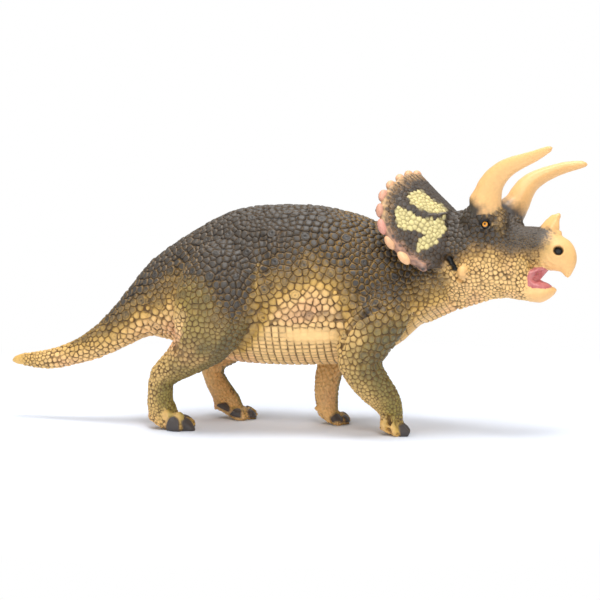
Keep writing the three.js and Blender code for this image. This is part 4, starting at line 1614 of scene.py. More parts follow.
        pit = ease(self.nostril_radius + 0.15, self.nostril_radius - 0.25, away) * (own[:, 1] > 2.4)
        gap = line_distance(own, ((2.2, 12.4, -4.8), (2.9, 12, -6.0), (4.5, 11.5, -8.5)))
        pit = np.maximum(pit, ease(1.1, 0.4, gap) * (own[:, 0] < 9.0))
        gaze = norm((own - self.eye) * (0.75, 1.0, 1.2), axis=1)
        knob = swell(own, self.cheek_knob, self.knob_reach)
        below = 1.0 - frill
        behind_nostril = swell(own, (35.8, 5.0, 1.5), (2.0, 5.0, 3.6))
        return {
            "coat": limit(coat * (1.0 - 0.9 * limit(1.6 * knob - 0.3))),
            "gold": 0.6 * ease(-14.0, 0.0, above) * (1.0 - bare) * below,
            "olive": np.maximum(
                0.3 * ease(6.0, -2.0, above) * ease(-9.0, -3.0, above) * (1.0 - bare) * below,
                0.7 * behind_nostril,
            ),
            "blush": 0.25 * ease(0.0, 1.0, ripple(own, 9.0, 61)) * below * (1.0 - bare),
            "brown": 0.35 * ease(3.0, 0.0, above) * ease(-7.0, -2.0, above) * (1.0 - bare) * below,
            "ochre": (0.1 + 0.4 * bell(above, 5.0)) * (1.0 - 0.9 * frill),
            "rim": np.clip(0.3 * frill + 0.5 * rim * ease(8.0, -2.0, own[:, 2]), 0.0, 0.9),
            "patch": patch,
            "horn_coat": limit(bare * below * (1.0 - 0.6 * behind_nostril) + 0.8 * knob),
            "pit": pit,
            "lid": ease(1.85, 1.35, gaze),
        }


@dataclass
class FigureSkin:
    """The whole figure's skin, parted along the seams of its fourteen mouldings."""

    pitch: float = 0.605
    fatten: float = 0.25
    relax_rounds: int = 55
    relax_pull: float = 0.55
    blur_rounds: int = 12
    border_rounds: int = 8
    # Ringed scales: distance between two, least spacing round them, and the X where they end
    ring_gap: float = 11.5
    ring_spacing: float = 2.2
    ring_end: float = 46.0
    # Height of a scale as a share of its width, and depth of the grooves as a share of that height
    rise_share: float = 0.27
    sink_share: float = 1.1
    # Creases pressed in deeper than this are lined with brown and charcoal
    crease_depths: Pair = (-0.65, -1.3)
    floor_gap: float = 0.02
    body: Body = field(default_factory=Body)
    face: Face = field(default_factory=Face)
    feet: Feet = field(default_factory=Feet)

    def build(self, finishes: dict[str, Material]) -> dict[str, Object]:
        """Makes the skin's pieces.

        Args:
            finishes: The material of each piece, by the CAD solid's name.

        Returns:
            One piece for each CAD solid, by the solid's name.
        """
        solids = [cad_copy(node, self.fatten) for node in NODES]
        added = self.feet.shapes() + self.face.shapes() + self.body.shapes()
        base = shrink_wrap(solids + added, self.pitch)
        base.relax(self.relax_rounds, self.relax_pull)
        soft = self.memberships(base)
        ground = Ground.of(base, soft, self.face.frame)
        spacing = self.face.spacing(ground, self.body.neck_scale)
        spacing = np.where(np.isnan(spacing), self.body.spacing(ground), spacing)
        spacing = base.smoothed(spacing, self.blur_rounds)
        scales = self.scales(base, ground, spacing)
        label = nearest_node(NODES, base.points[base.quads].mean(axis=1))
        label = tidy_borders(label, base, self.border_rounds)
        base.straightened(label, self.border_rounds)
        near = scales.candidates(base.points)
        LOG.info("skin: %d quads, %d scales", 4 * len(base.quads), len(scales.centres))

        fine, parent = base.refined()
        soft = base.carried(soft)
        fine.relax(2, 0.5, keep=0.0)
        ground = Ground.of(fine, soft, self.face.frame)
        push = self.body.folds(ground) + self.face.folds(ground) + self.feet.folds(ground)
        fine.points = self.face.bent(fine.points + ground.normals * push[:, None], ground)
        cells = scales.cells(ground.points, near[parent])
        flat = np.maximum(self.body.smooth_share(ground), self.face.bare(ground))
        flat = np.maximum(flat, self.feet.bare(ground.points))
        rise = scales.reach[cells.own] * 2.0 * self.rise_share * (1.0 - flat) * self.face.rise(ground)
        relief = Relief.of(scales, cells, rise, self.body.squared(ground), seed=5)
        normals = fine.normals()
        points = fine.points + normals * (relief.height - self.sink_share * rise - self.fatten)[:, None]
        values = self.painted(ground, scales.centres[cells.own], relief, flat)
        creased = ease(*self.crease_depths, push) * (1.0 - ground.share(*HEAD))
        values["brown"] = np.maximum(values["brown"], 0.25 * creased)
        values["coat"] = limit(values["coat"] + 0.4 * creased)
        catch = Skin(points, fine.quads).normals()[:, 2] - normals[:, 2]
        values["coat"] = self.sprayed(values, relief, catch, ground)
        points = self.feet.lifted(points, ground)
        points[:, 2] = np.maximum(points[:, 2], self.floor_gap)
        return parted(Skin(points, fine.quads), np.repeat(label, 4), NODES, values, finishes)

    def memberships(self, base: Skin) -> Array:
        """How much each point belongs to each solid, fading over about three millimetres.

        Args:
            base: The skin.

        Returns:
            Shares, one column a solid.
        """
        owner = nearest_node(NODES, base.points)
        members = [(owner == i).astype(float) for i in range(len(NODES))]
        return np.stack([base.smoothed(own, self.blur_rounds) for own in members], axis=1)

    def scales(self, base: Skin, ground: Ground, spacing: Array) -> Scales:
        """Spreads the scales over the skin.

        Args:
            base: The skin.
            ground: The same skin's ground.
            spacing: Distance between neighbouring scales at each point.

        Returns:
            The scales.
        """
        tree = BVHTree.FromPolygons([Vector(p) for p in base.points.tolist()], base.quads.tolist())
        taken = np.maximum(
            self.body.belly_share(base.points, ground.normals),
            self.body.throat_share(base.points, ground.normals),
        ) * ground.on(*TORSO)
        bare = np.maximum(self.face.bare(ground), self.feet.bare(base.points))
        trunk = ground.on(*TORSO, "tail", *LEGS) & (base.points[:, 0] < self.ring_end)
        rings = np.where((spacing > self.ring_spacing) & (taken < 0.2) & trunk, self.ring_gap, 0.0)
        where = (taken < 0.5) & (bare < 0.95)
        return Scales.spread(base, spacing, where, rings, self.body.scute_rows(tree), seed=11)

    def painted(self, ground: Ground, centres: Array, relief: Relief, flat: Array) -> Shares:
        """The paint of body and head, blended over the neck, and the lines in the grooves.

        Args:
            ground: The skin.
            centres: The middle of each point's scale.
            relief: The scales' relief.
            flat: Where there are no scales.

        Returns:
            Shares by name.
        """
        body = self.body.paint(ground, centres)
        face = self.face.paint(ground, centres)
        on_head = ground.share(*HEAD)
        mixed = {
            name: on_head * value + (1.0 - on_head) * body.get(name, 0.0)
            for name, value in face.items()
        }
        mixed["pit"] = face["pit"]
        hoof = self.feet.hoof(ground.points)
        light = np.array((-0.25, -0.2, 0.95))
        along = light - ground.normals * (ground.normals @ light)[:, None]
        out = ground.points - centres
        upper = (out * along).sum(axis=1) / (norm(out, axis=1) * norm(along, axis=1) + 0.25)
        pale = mixed["patch"]
        scaled = ease(0.95, 0.5, flat) * relief.line * (1.0 - 0.6 * pale)
        dark = mixed["coat"] * (1.0 - pale)
        rub = 0.8 + 0.35 * ripple(ground.points, 3.0, 71)
        shade = limit(0.55 - 0.6 * upper)
        mixed["umber"] = limit(scaled * rub * (1.0 - 0.35 * dark) * (0.6 + 0.45 * shade))
        mixed["ochre"] = limit(scaled * mixed["ochre"] * dark * (0.35 + 0.65 * (1.0 - shade)))
        ink = scaled * (0.12 + 0.88 * dark) * (0.25 + 0.85 * shade)
        mixed["ink"] = np.clip(ink, 0.0, 0.95)
        mixed["tone"] = relief.tone * (1.0 - flat)
        mixed["dimple"] = relief.dimple * (1.0 - flat)
        mixed["hoof"] = hoof
        mixed["seam"] = relief.edge + (1.0 - relief.edge) * flat
        return mixed

    def sprayed(self, values: Shares, relief: Relief, catch: Array, ground: Ground) -> Array:
        """The charcoal as it settled: on the scales' tops and upper sides, less in the grooves.

        Args:
            values: The painted shares.
            relief: The scales' relief.
            catch: How much more each point faces up than the skin below its scale.
            ground: The skin.

        Returns:
            The charcoal's cover.
        """
        cover = values["coat"]
        between = 4.0 * cover * (1.0 - cover)
        cloud = 0.5 * ripple(ground.points, 2.2, 81) + 0.35 * ripple(ground.points, 1.1, 82)
        groove = 1.0 - ease(0.05, 0.4, relief.edge)
        cover = cover * 1.12 + between * (0.35 * catch + 0.22 * cloud - 0.35 * groove + 0.12)
        return np.clip(cover, 0.0, 0.97)


def parted(
    skin: Skin, label: Array, names: Sequence[str], values: Shares, finishes: dict[str, Material]
) -> dict[str, Object]:
    """Parts a skin into closed pieces, one for each label.

    Args:
        skin: The whole skin.
        label: A label for each quad.
        names: Names of the pieces, by label.
        values: Painted shares at the skin's points, by name.
        finishes: The material of each piece, by name.

    Returns:
        The pieces, by name.
    """
    pieces = {}
    for index, name in enumerate(names):
        quads = skin.quads[label == index]
        used, local = np.unique(quads, return_inverse=True)
        local = local.reshape(-1, 4)
        points = skin.points[used]
        loops = rim_loops(local)
        middles, caps = [], []
        for loop in loops:
            hub = len(points) + len(middles)
            middles.append(points[loop].mean(axis=0))
            for here, onward in zip(loop, loop[1:] + loop[:1]):
                caps.extend((here, onward, hub))
        corners = np.concatenate([local.ravel(), np.array(caps, dtype=int)])
        starts = np.concatenate(
            [np.arange(len(local)) * 4, len(local) * 4 + np.arange(len(caps) // 3) * 3]
        )
        everything = np.concatenate([points, np.array(middles).reshape(-1, 3)]) * MM
        mesh = plain_mesh(f"{name}_skin", everything, corners, starts)
        smooth = np.ones(len(starts), dtype=bool)
        smooth[len(local):] = False
        mesh.polygons.foreach_set("use_smooth", smooth)
        for key, value in values.items():
            store(mesh, key, np.concatenate([value[used], np.zeros(len(middles))]))
        sharpen_rims(mesh, loops)
        mesh.materials.append(finishes[name])
        pieces[name] = linked(f"{name}_skin", mesh)
    return pieces


def sharpen_rims(mesh: Mesh, loops: Sequence[Sequence[int]]) -> None:
    """Keeps the caps inside a piece from bending the light at its rims.

    Args:
        mesh: The piece.
        loops: Its rims, as loops of points.
    """
    rim = {frozenset((a, b)) for loop in loops for a, b in zip(loop, list(loop[1:]) + [loop[0]])}
    if not rim:
        return
    ends = np.empty(2 * len(mesh.edges), dtype=np.int32)
    mesh.edges.foreach_get("vertices", ends)
    ends = np.sort(ends.reshape(-1, 2), axis=1)
    size = len(mesh.vertices)
    wanted = np.array([min(pair) * size + max(pair) for pair in rim])
    sharp = np.isin(ends[:, 0].astype(np.int64) * size + ends[:, 1], wanted)
    layer = mesh.attributes.new("sharp_edge", "BOOLEAN", "EDGE")
    layer.data.foreach_set("value", sharp)


@dataclass(frozen=True)
class Eyes:
    """The two eyeballs, set in their sockets and looking sideways."""

    radius: float = 1.45
    depth: float = 1.35
    gaze: Place = (0.14, 0.97, 0.18)
    # Half angles of iris and pupil, and the half width of their painted edges, in degrees
    iris_angle: float = 40.0
    pupil_angle: float = 16.0
    edge_angle: float = 3.0
    segments: int = 40

    def build(self, face: Face, finish: Material) -> list[Object]:
        """Makes the eyeballs.

        Args:
            face: The face that holds them.
            finish: Their material.

        Returns:
            The right eye and the left one.
        """
        made = []
        for side in Side:
            mirror = np.array((1.0, side.value, 1.0))
            gaze = Vector(self.gaze).normalized()
            centre = np.array(face.eye) - np.array(gaze) * self.depth
            work = bmesh.new()
            bmesh.ops.create_uvsphere(
                work, u_segments=self.segments, v_segments=self.segments, radius=self.radius
            )
            turn = np.array(gaze.to_track_quat("Z", "X").to_matrix())
            points = np.array([v.co[:] for v in work.verts])
            angle = np.degrees(np.arccos(np.clip(points[:, 2] / self.radius, -1.0, 1.0)))
            placed = face.frame.outside((points @ turn.T + centre) * mirror) * MM
            for vertex, place in zip(work.verts, placed.tolist()):
                vertex.co = place
            bmesh.ops.recalc_face_normals(work, faces=work.faces)
            for polygon in work.faces:
                polygon.smooth = True
            name = f"eye_{side.name.lower()}"
            mesh = bpy.data.meshes.new(name)
            work.to_mesh(mesh)
            work.free()
            for part, wide in (("iris", self.iris_angle), ("pupil", self.pupil_angle)):
                store(mesh, part, ease(wide + self.edge_angle, wide - self.edge_angle, angle))
            mesh.materials.append(finish)
            made.append(linked(name, mesh))
        return made


@dataclass(frozen=True)
class RimKnobs:
    """The knobs round the frill's rim, set out by a tree of Geometry Nodes."""

    half_length: float = 2.15
    half_depth: float = 1.85
    half_width: float = 1.55
    # How much longer the lowest knobs are than those on the crest
    stretch: float = 1.4
    vary: float = 0.1
    seed: int = 4
    segments: int = 28
    rings: int = 20
    # Place in the head's frame that all the knobs point away from
    fan_centre: Place = (-8.0, 0.0, 4.0)

    def build(self, face: Face, finish: Material) -> Object:
        """Makes the knobs as one plain mesh.

        Args:
            face: The face whose frill carries them.
            finish: Their material.

        Returns:
            The knobs.
        """
        left = np.array(face.rim[:-1])
        path = np.concatenate([left[:0:-1] * (1.0, -1.0, 1.0), left])
        ways = np.gradient(path, axis=0)
        outward = path - self.fan_centre
        turns, outs = [], []
        for way, out in zip(ways, outward):
            along = Vector(way).normalized()
            away = Vector(out)
            away = (away - along * away.dot(along)).normalized()
            local = Matrix((along, away, along.cross(away))).transposed()
            turned = Matrix(face.frame.axes().tolist()) @ local
            turns.append(turned.to_euler()[:])
            outs.append((turned @ Vector((0.0, 1.0, 0.0)))[:])
        centres = face.frame.outside(path)
        nothing = np.array([])
        seats = linked("knob_seats", plain_mesh("knob_seats", centres * MM, nothing, nothing))
        layer = seats.data.attributes.new("turn", "FLOAT_VECTOR", "POINT")
        layer.data.foreach_set("vector", np.array(turns, dtype=np.float32).ravel())
        down = np.abs(np.linspace(-1.0, 1.0, len(path)))
        store(seats.data, "stretch", 1.0 + (self.stretch - 1.0) * ease(0.2, 0.7, down))
        tree = self.tree()
        spread = seats.modifiers.new("knobs", "NODES")
        spread.node_group = tree
        sizes = {
            "Half Length": self.half_length * MM,
            "Half Depth": self.half_depth * MM,
            "Half Width": self.half_width * MM,
            "Vary": self.vary,
            "Seed": self.seed,
            "Segments": self.segments,
            "Rings": self.rings,
            "Finish": finish,
        }
        for item in tree.interface.items_tree:
            if item.name in sizes and item.in_out == "INPUT":
                spread[item.identifier] = sizes[item.name]
        mesh = evaluated(seats)
        discard(seats)
        mesh.name = "rim_knobs"
        knobs = linked("rim_knobs", mesh)
        self.paint(mesh, centres, np.array(outs))
        return knobs

    def tree(self) -> NodeTree:
        """Builds the Geometry Nodes that put a turned and stretched ball on every seat.

        Returns:
            The tree, with the knobs' sizes and finish as its inputs.
        """
        tree = bpy.data.node_groups.new("rim_knobs", "GeometryNodeTree")
        sockets = {
            "Geometry": ("Geometry",),
            "Float": ("Half Length", "Half Depth", "Half Width", "Vary"),
            "Int": ("Seed", "Segments", "Rings"),
            "Material": ("Finish",),
        }
        for kind, names in sockets.items():
            for name in names:
                tree.interface.new_socket(name=name, in_out="INPUT", socket_type=f"NodeSocket{kind}")
        tree.interface.new_socket(name="Geometry", in_out="OUTPUT", socket_type="NodeSocketGeometry")
        add = partial(add_node, tree)
        given = add("NodeGroupInput").outputs
        ball = add(
            "GeometryNodeMeshUVSphere", None, {"Segments": given["Segments"], "Rings": given["Rings"]}
        )
        soft = add("GeometryNodeSetShadeSmooth", None, {"Geometry": ball})
        named = add("GeometryNodeInputNamedAttribute", {"data_type": "FLOAT_VECTOR"}, {"Name": "turn"})
        turn = add("FunctionNodeEulerToRotation", None, {0: named})
        least = add("ShaderNodeMath", {"operation": "SUBTRACT"}, {0: 1.0, 1: given["Vary"]})
        size = add(
            "FunctionNodeRandomValue", {"data_type": "FLOAT"},
            {"Min": least, "Max": 1.0, "Seed": given["Seed"]},
        )
        stretch = add("GeometryNodeInputNamedAttribute", {"data_type": "FLOAT"}, {"Name": "stretch"})
        length = add("ShaderNodeMath", {"operation": "MULTIPLY"}, {0: given["Half Length"], 1: stretch})
        shape = add(
            "ShaderNodeCombineXYZ", None, {0: length, 1: given["Half Depth"], 2: given["Half Width"]}
        )
        scale = add("ShaderNodeVectorMath", {"operation": "SCALE"}, {0: shape, "Scale": size})
        placed = add(
            "GeometryNodeInstanceOnPoints", None,
            {"Points": given["Geometry"], "Instance": soft, "Rotation": turn, "Scale": scale},
        )
        real = add("GeometryNodeRealizeInstances", None, {"Geometry": placed})
        done = add("GeometryNodeSetMaterial", None, {"Geometry": real, "Material": given["Finish"]})
        add("NodeGroupOutput", None, {0: done})
        return tree

    def paint(self, mesh: Mesh, centres: Array, outward: Array) -> None:
        """Stores the knobs' colours: tan to pink to cream downwards, dusted dark at their feet.

        Args:
            mesh: The knobs.
            centres: The middle of each knob.
            outward: The way that each knob points.
        """
        place = np.empty(3 * len(mesh.vertices), dtype=np.float32)
        mesh.vertices.foreach_get("co", place)
        points = place.reshape(-1, 3).astype(float) / MM
        own = norm(points[:, None, :] - centres, axis=2).argmin(axis=1)
        out = ((points - centres[own]) * outward[own]).sum(axis=1) / self.half_depth
        shade = np.random.default_rng(self.seed).uniform(-1.0, 1.0, len(centres))[own]
        down = np.abs(2.0 * own / (len(centres) - 1.0) - 1.0)
        pink = 0.55 + 0.4 * ease(0.3, 0.6, down) - 0.55 * ease(0.75, 0.95, down)
        store(mesh, "rim", limit(pink + 0.1 * shade))
        store(mesh, "coat", 0.55 * ease(0.35, -0.45, out + 0.3 * ripple(points, 2.0, 91)))
        store(mesh, "tone", shade + 0.5 * ripple(points, 1.3, 92))
        store(mesh, "seam", np.ones(len(points)))


# Finishes


def linear(code: str) -> tuple[float, ...]:
    """Turns an sRGB hex colour to the linear values that Blender mixes.

    Args:
        code: The colour, such as "#d9b27a".

    Returns:
        Red, green, blue and full cover.
    """
    shares = [int(code[i : i + 2], 16) / 255.0 for i in (1, 3, 5)]
    bent = [s / 12.92 if s <= 0.04045 else ((s + 0.055) / 1.055) ** 2.4 for s in shares]
    return (*bent, 1.0)


def add_node(
    tree: NodeTree,
    kind: str,
    settings: dict[str, object] | None = None,
    inputs: dict[str | int, object] | None = None,
) -> Node:
    """Adds a node with its settings and its links.

    Args:
        tree: The tree that gets the node.
        kind: Blender's name for its type.
        settings: Properties to set.
        inputs: A constant, another node's output, or a node whose first output is meant, for
            each named or numbered input.

    Returns:
        The node.
    """
    made = tree.nodes.new(kind)
    for key, value in (settings or {}).items():
        setattr(made, key, value)
    for key, value in (inputs or {}).items():
        if isinstance(value, Node):
            value = next(socket for socket in value.outputs if socket.enabled)
        if isinstance(value, NodeSocket):
            tree.links.new(value, made.inputs[key])
        else:
            made.inputs[key].default_value = value
    return made


def new_material(name: str) -> tuple[Material, Callable[..., Node]]:
    """Makes an empty material.

    Args:
        name: Its name.

    Returns:
        The material, and the function that adds a node to it.
    """
    made = bpy.data.materials.new(name)
    made.use_nodes = True
    made.node_tree.nodes.clear()
    return made, partial(add_node, made.node_tree)


@dataclass(frozen=True)
class PaintedVinyl:
    """Soft PVC, moulded with raised scales, sprayed in zones and lined dark in the grooves.

    To the eye that is a satin skin: a dull bloom of light on each scale's crest and no sparkle.
    """

    name: str = "satin_painted_vinyl"
    tan: str = "#fdcf88"
    roughness: float = 0.5
    # Blotches of the sprayed paint, and the mould's grain, drawn coarser than life so that it shows
    speckle_mm: float = 0.8
    grain_mm: float = 0.22
    # Value of a mean scale's grooves, and what its own tone, its crest and the blotches add to it
    base_value: float = 0.68
    tone_value: float = 0.1
    crest_value: float = 0.26
    speckle_value: float = 0.22
    # Coats in the order in which they are laid on: the share that the skin stores, the colour, and
    # for a line beside the grooves how far it reaches over a scale, as a share of the scale's radius
    coats: tuple[tuple[str, str, float], ...] = (
        ("blush", "#f2ad86", 0.0),
        ("gold", "#d5a850", 0.0),
        ("olive", "#98863d", 0.0),
        ("brown", "#a9671c", 0.0),
        ("horn_coat", "#efbb78", 0.0),
        ("rim", "#cb8f7c", 0.0),
        ("coat", "#3f3d3c", 0.0),
        ("patch", "#e3d392", 0.0),
        ("ochre", "#b5882c", 0.42),
        ("umber", "#74501c", 0.27),
        ("ink", "#1d1a18", 0.22),
        ("lid", "#1a1614", 0.0),
        ("hoof", "#453e3b", 0.0),
        ("pit", "#0c0a09", 0.0),
    )

    def build(self) -> Material:
        """Makes the material.

        Returns:
            The painted vinyl, which reads the shares stored on the skin.
        """
        made, add = new_material(self.name)
        place = add("ShaderNodeTexCoord").outputs["Object"]
        speckle = add(
            "ShaderNodeTexNoise", None,
            {"Vector": place, "Scale": 1.0 / (self.speckle_mm * MM), "Detail": 2.0},
        )
        seam = add("ShaderNodeAttribute", {"attribute_name": "seam"})
        ragged = add(
            "ShaderNodeMath", {"operation": "MULTIPLY_ADD"},
            {0: speckle, 1: 0.16, 2: seam.outputs["Fac"]},
        )
        skin: object = linear(self.tan)
        for name, code, reach in self.coats:
            share = add("ShaderNodeAttribute", {"attribute_name": name}).outputs["Fac"]
            if reach > 0.0:
                beside = add(
                    "ShaderNodeMapRange", {"interpolation_type": "SMOOTHSTEP"},
                    {"Value": ragged, "From Min": reach + 0.08, "From Max": 0.4 * reach + 0.08},
                )
                share = add(
                    "ShaderNodeMath", {"operation": "MULTIPLY"}, {0: share, 1: beside.outputs["Result"]}
                )
            skin = add("ShaderNodeMix", {"data_type": "RGBA"}, {0: share, 6: skin, 7: linear(code)})
        tone = add("ShaderNodeAttribute", {"attribute_name": "tone"})
        crest = add("ShaderNodeMath", {"operation": "MINIMUM"}, {0: seam.outputs["Fac"], 1: 1.0})
        light: object = self.base_value
        for source, gain in (
            (tone.outputs["Fac"], self.tone_value),
            (crest, self.crest_value),
            (speckle, self.speckle_value),
        ):
            light = add("ShaderNodeMath", {"operation": "MULTIPLY_ADD"}, {0: source, 1: gain, 2: light})
        skin = add("ShaderNodeHueSaturation", None, {"Color": skin, "Value": light})
        dimple = add("ShaderNodeAttribute", {"attribute_name": "dimple"})
        depth = add("ShaderNodeMath", {"operation": "MULTIPLY"}, {0: dimple.outputs["Fac"], 1: 0.8})
        skin = add("ShaderNodeMix", {"data_type": "RGBA"}, {0: depth, 6: skin, 7: linear("#221e1b")})
        grain = add(
            "ShaderNodeTexNoise", None,
            {"Vector": place, "Scale": 1.0 / (self.grain_mm * MM), "Detail": 2.0, "Roughness": 0.6},
        )
        bump = add("ShaderNodeBump", None, {"Height": grain, "Strength": 0.15, "Distance": 0.05 * MM})
        rough = add(
            "ShaderNodeMath", {"operation": "MULTIPLY_ADD"},
            {0: speckle, 1: 0.18, 2: self.roughness - 0.09},
        )
        shader = add(
            "ShaderNodeBsdfPrincipled", None,
            {"Base Color": skin, "Roughness": rough, "Normal": bump, "IOR": 1.52},
        )
        add("ShaderNodeOutputMaterial", None, {"Surface": shader})
        return made


@dataclass(frozen=True)
class GlossPink:
    """Pink gloss enamel brushed inside the mouth: wet to the eye, redder in its hollows."""

    pink: str = "#e29a94"
    red: str = "#b4494c"
    roughness: float = 0.22
    blotch_mm: float = 1.6

    def build(self) -> Material:
        """Makes the material.

        Returns:
            The pink enamel.
        """
        made, add = new_material("gloss_pink_enamel")
        place = add("ShaderNodeTexCoord").outputs["Object"]
        blotch = add(
            "ShaderNodeTexNoise", None,
            {"Vector": place, "Scale": 1.0 / (self.blotch_mm * MM), "Detail": 3.0},
        )
        colour = add(
            "ShaderNodeMix", {"data_type": "RGBA"},
            {0: blotch, 6: linear(self.red), 7: linear(self.pink)},
        )
        bump = add("ShaderNodeBump", None, {"Height": blotch, "Strength": 0.4, "Distance": 0.3 * MM})
        shader = add(
            "ShaderNodeBsdfPrincipled", None,
            {"Base Color": colour, "Roughness": self.roughness, "Normal": bump, "IOR": 1.5},
        )
        add("ShaderNodeOutputMaterial", None, {"Surface": shader})
        return made


@dataclass(frozen=True)
class EyeEnamel:
    """Gloss enamel dotted on by hand: a bright orange iris round a black pupil."""

    orange: str = "#f0a13c"
    black: str = "#0b0908"
    roughness: float = 0.12

    def build(self) -> Material:
        """Makes the material.

        Returns:
            The eye's enamel, which reads the shares stored on the eyeballs.
        """
        made, add = new_material("gloss_eye_enamel")
        ball: object = linear(self.black)
        for name, code in (("iris", self.orange), ("pupil", self.black)):
            share = add("ShaderNodeAttribute", {"attribute_name": name}).outputs["Fac"]
            ball = add("ShaderNodeMix", {"data_type": "RGBA"}, {0: share, 6: ball, 7: linear(code)})
        shader = add(
            "ShaderNodeBsdfPrincipled", None,
            {"Base Color": ball, "Roughness": self.roughness, "IOR": 1.5},
        )
        add("ShaderNodeOutputMaterial", None, {"Surface": shader})
        return made


# The studio


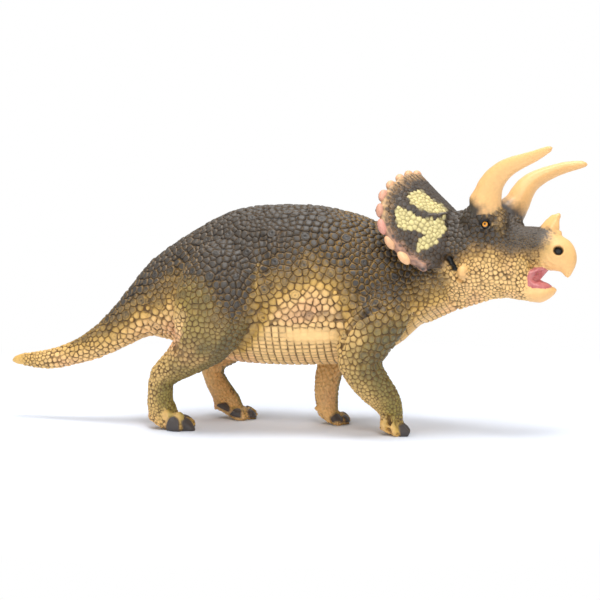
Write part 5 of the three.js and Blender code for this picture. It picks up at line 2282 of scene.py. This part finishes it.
@dataclass
class Studio:
    """A pale floor, soft lamps and the photograph's camera. Lengths are metres here."""

    azimuth: float = 10.0
    elevation: float = 6.0
    distance: float = 0.888
    aim: Place = (0.003772, -0.00152, 0.05)
    lens: float = 150.0
    sensor_width: float = 36.0
    shift_up: float = -0.02167
    world_strength: float = 0.46
    floor_radius: float = 0.9
    # Distances from the middle over which the floor fades into the white round it
    floor_fade: Pair = (0.13, 0.24)
    lamps_aim: Place = (0.0, 0.0, 0.04)
    # Soft boxes: name, place, size and watts
    lamps: tuple[tuple[str, Place, float, float], ...] = (
        ("overhead_softbox", (0.05, -0.06, 0.85), 0.42, 5.2),
        ("key_softbox", (0.26, -0.7, 0.62), 0.3, 2.9),
        ("front_softbox", (-0.5, -0.75, 0.25), 0.5, 1.2),
        ("rear_softbox", (-0.1, 0.7, 0.75), 0.5, 1.6),
    )

    def build(self) -> None:
        """Makes the camera, the lamps, the floor and the surroundings."""
        self._camera()
        self._lamps()
        self._floor()
        self._world()

    def _back(self) -> Vector:
        """The way from the figure to the camera, one long."""
        turn, lift = math.radians(self.azimuth), math.radians(self.elevation)
        return Vector((math.sin(turn) * math.cos(lift), -math.cos(turn) * math.cos(lift), math.sin(lift)))

    def _camera(self) -> None:
        """Puts the camera where the photograph was taken."""
        lens = bpy.data.cameras.new("photo_camera")
        lens.lens = self.lens
        lens.sensor_width = self.sensor_width
        lens.shift_y = self.shift_up
        lens.clip_start = 0.01
        lens.clip_end = 20.0
        view = linked("photo_camera", lens)
        view.location = Vector(self.aim) + self._back() * self.distance
        view.rotation_euler = (-self._back()).to_track_quat("-Z", "Y").to_euler()
        bpy.context.scene.camera = view

    def _lamps(self) -> None:
        """Adds the soft boxes, each turned to the figure."""
        for name, place, size, power in self.lamps:
            lamp = bpy.data.lights.new(name, "AREA")
            lamp.shape = "SQUARE"
            lamp.size = size
            lamp.energy = power
            box = linked(name, lamp)
            box.location = place
            way = Vector(self.lamps_aim) - Vector(place)
            box.rotation_euler = way.to_track_quat("-Z", "Y").to_euler()

    def _floor(self) -> None:
        """Lays a white floor that fades into the white surroundings."""
        work = bmesh.new()
        bmesh.ops.create_circle(
            work, cap_ends=True, cap_tris=False, segments=96, radius=self.floor_radius
        )
        mesh = bpy.data.meshes.new("studio_floor")
        work.to_mesh(mesh)
        work.free()
        made, add = new_material("white_paper_sweep")
        place = add("ShaderNodeTexCoord").outputs["Object"]
        far = add("ShaderNodeVectorMath", {"operation": "LENGTH"}, {0: place})
        start, end = self.floor_fade
        fade = add(
            "ShaderNodeMapRange", {"interpolation_type": "SMOOTHSTEP"},
            {"Value": far.outputs["Value"], "From Min": start, "From Max": end},
        )
        paper = add("ShaderNodeBsdfDiffuse", None, {"Color": linear("#ebf1fc")})
        white = add("ShaderNodeEmission", None, {"Color": (1.0, 1.0, 1.0, 1.0)})
        path = add("ShaderNodeLightPath")
        seen = add(
            "ShaderNodeMath", {"operation": "MAXIMUM"},
            {0: path.outputs["Is Camera Ray"], 1: path.outputs["Is Glossy Ray"]},
        )
        part = add("ShaderNodeMath", {"operation": "MULTIPLY"}, {0: fade.outputs["Result"], 1: seen})
        both = add("ShaderNodeMixShader", None, {0: part, 1: paper, 2: white})
        add("ShaderNodeOutputMaterial", None, {"Surface": both})
        mesh.materials.append(made)
        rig.stage(linked("studio_floor", mesh))

    def _world(self) -> None:
        """Surrounds the set with white, bright to the eye and moderate as a light."""
        world = bpy.data.worlds.new("white_studio")
        bpy.context.scene.world = world
        world.use_nodes = True
        world.node_tree.nodes.clear()
        add = partial(add_node, world.node_tree)
        path = add("ShaderNodeLightPath")
        seen = add(
            "ShaderNodeMath", {"operation": "MAXIMUM"},
            {0: path.outputs["Is Camera Ray"], 1: path.outputs["Is Transmission Ray"]},
        )
        strength = add(
            "ShaderNodeMapRange", None, {"Value": seen, "To Min": self.world_strength, "To Max": 1.0}
        )
        light = add(
            "ShaderNodeBackground", None,
            {"Color": (1.0, 1.0, 1.0, 1.0), "Strength": strength.outputs["Result"]},
        )
        add("ShaderNodeOutputWorld", None, {"Surface": light})
        bpy.context.scene.view_settings.view_transform = "Standard"


def note_size(when: str) -> None:
    """Writes the object's box to a small file, for comparison.

    Args:
        when: "before" or "after" the dressing.
    """
    low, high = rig.bounds()
    known = {}
    if when != "before":
        with open(SIZE_NOTE, encoding="utf-8") as old:
            known = json.load(old)
    known[when] = [[round(c / MM, 3) for c in low], [round(c / MM, 3) for c in high]]
    with open(SIZE_NOTE, "w", encoding="utf-8") as new:
        json.dump(known, new)


def wear(piece: Object, node: str | None, slot: str) -> None:
    """Fastens a piece to the figure.

    Args:
        piece: The piece.
        node: The CAD solid that it stands for, if any.
        slot: The record's material slot.
    """
    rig.ride(piece, BODY)
    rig.slot(piece, slot)
    if node is not None:
        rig.replaces(piece, node)
    LOG.info("%s: %d faces, slot %s", piece.name, len(piece.data.polygons), slot)


SLOTS = {
    **dict.fromkeys(TORSO, "torso_hide"),
    "tail": "tail_hide",
    **dict.fromkeys(LEGS, "leg_hide"),
    **dict.fromkeys(("skull", "lower_jaw"), "face_hide"),
    "frill": "frill_hide",
    **dict.fromkeys(HORNS, "horn"),
    "mouth_lining": "mouth",
}


def main() -> None:
    """Builds the studio and every piece of the figure in order."""
    logging.basicConfig(level=logging.INFO, format="%(name)s %(message)s")
    note_size("before")
    Studio().build()
    hide = PaintedVinyl().build()
    horn = PaintedVinyl(name="smooth_satin_vinyl", roughness=0.4).build()
    finishes = {node: hide for node in NODES}
    finishes |= {node: horn for node in HORNS}
    finishes["mouth_lining"] = GlossPink().build()
    figure = FigureSkin()
    for node, piece in figure.build(finishes).items():
        wear(piece, node, SLOTS[node])
    wear(RimKnobs().build(figure.face, hide), None, "frill_hide")
    for ball in Eyes().build(figure.face, EyeEnamel().build()):
        wear(ball, None, "face_hide")
    note_size("after")


if __name__ == "__main__":
    main()
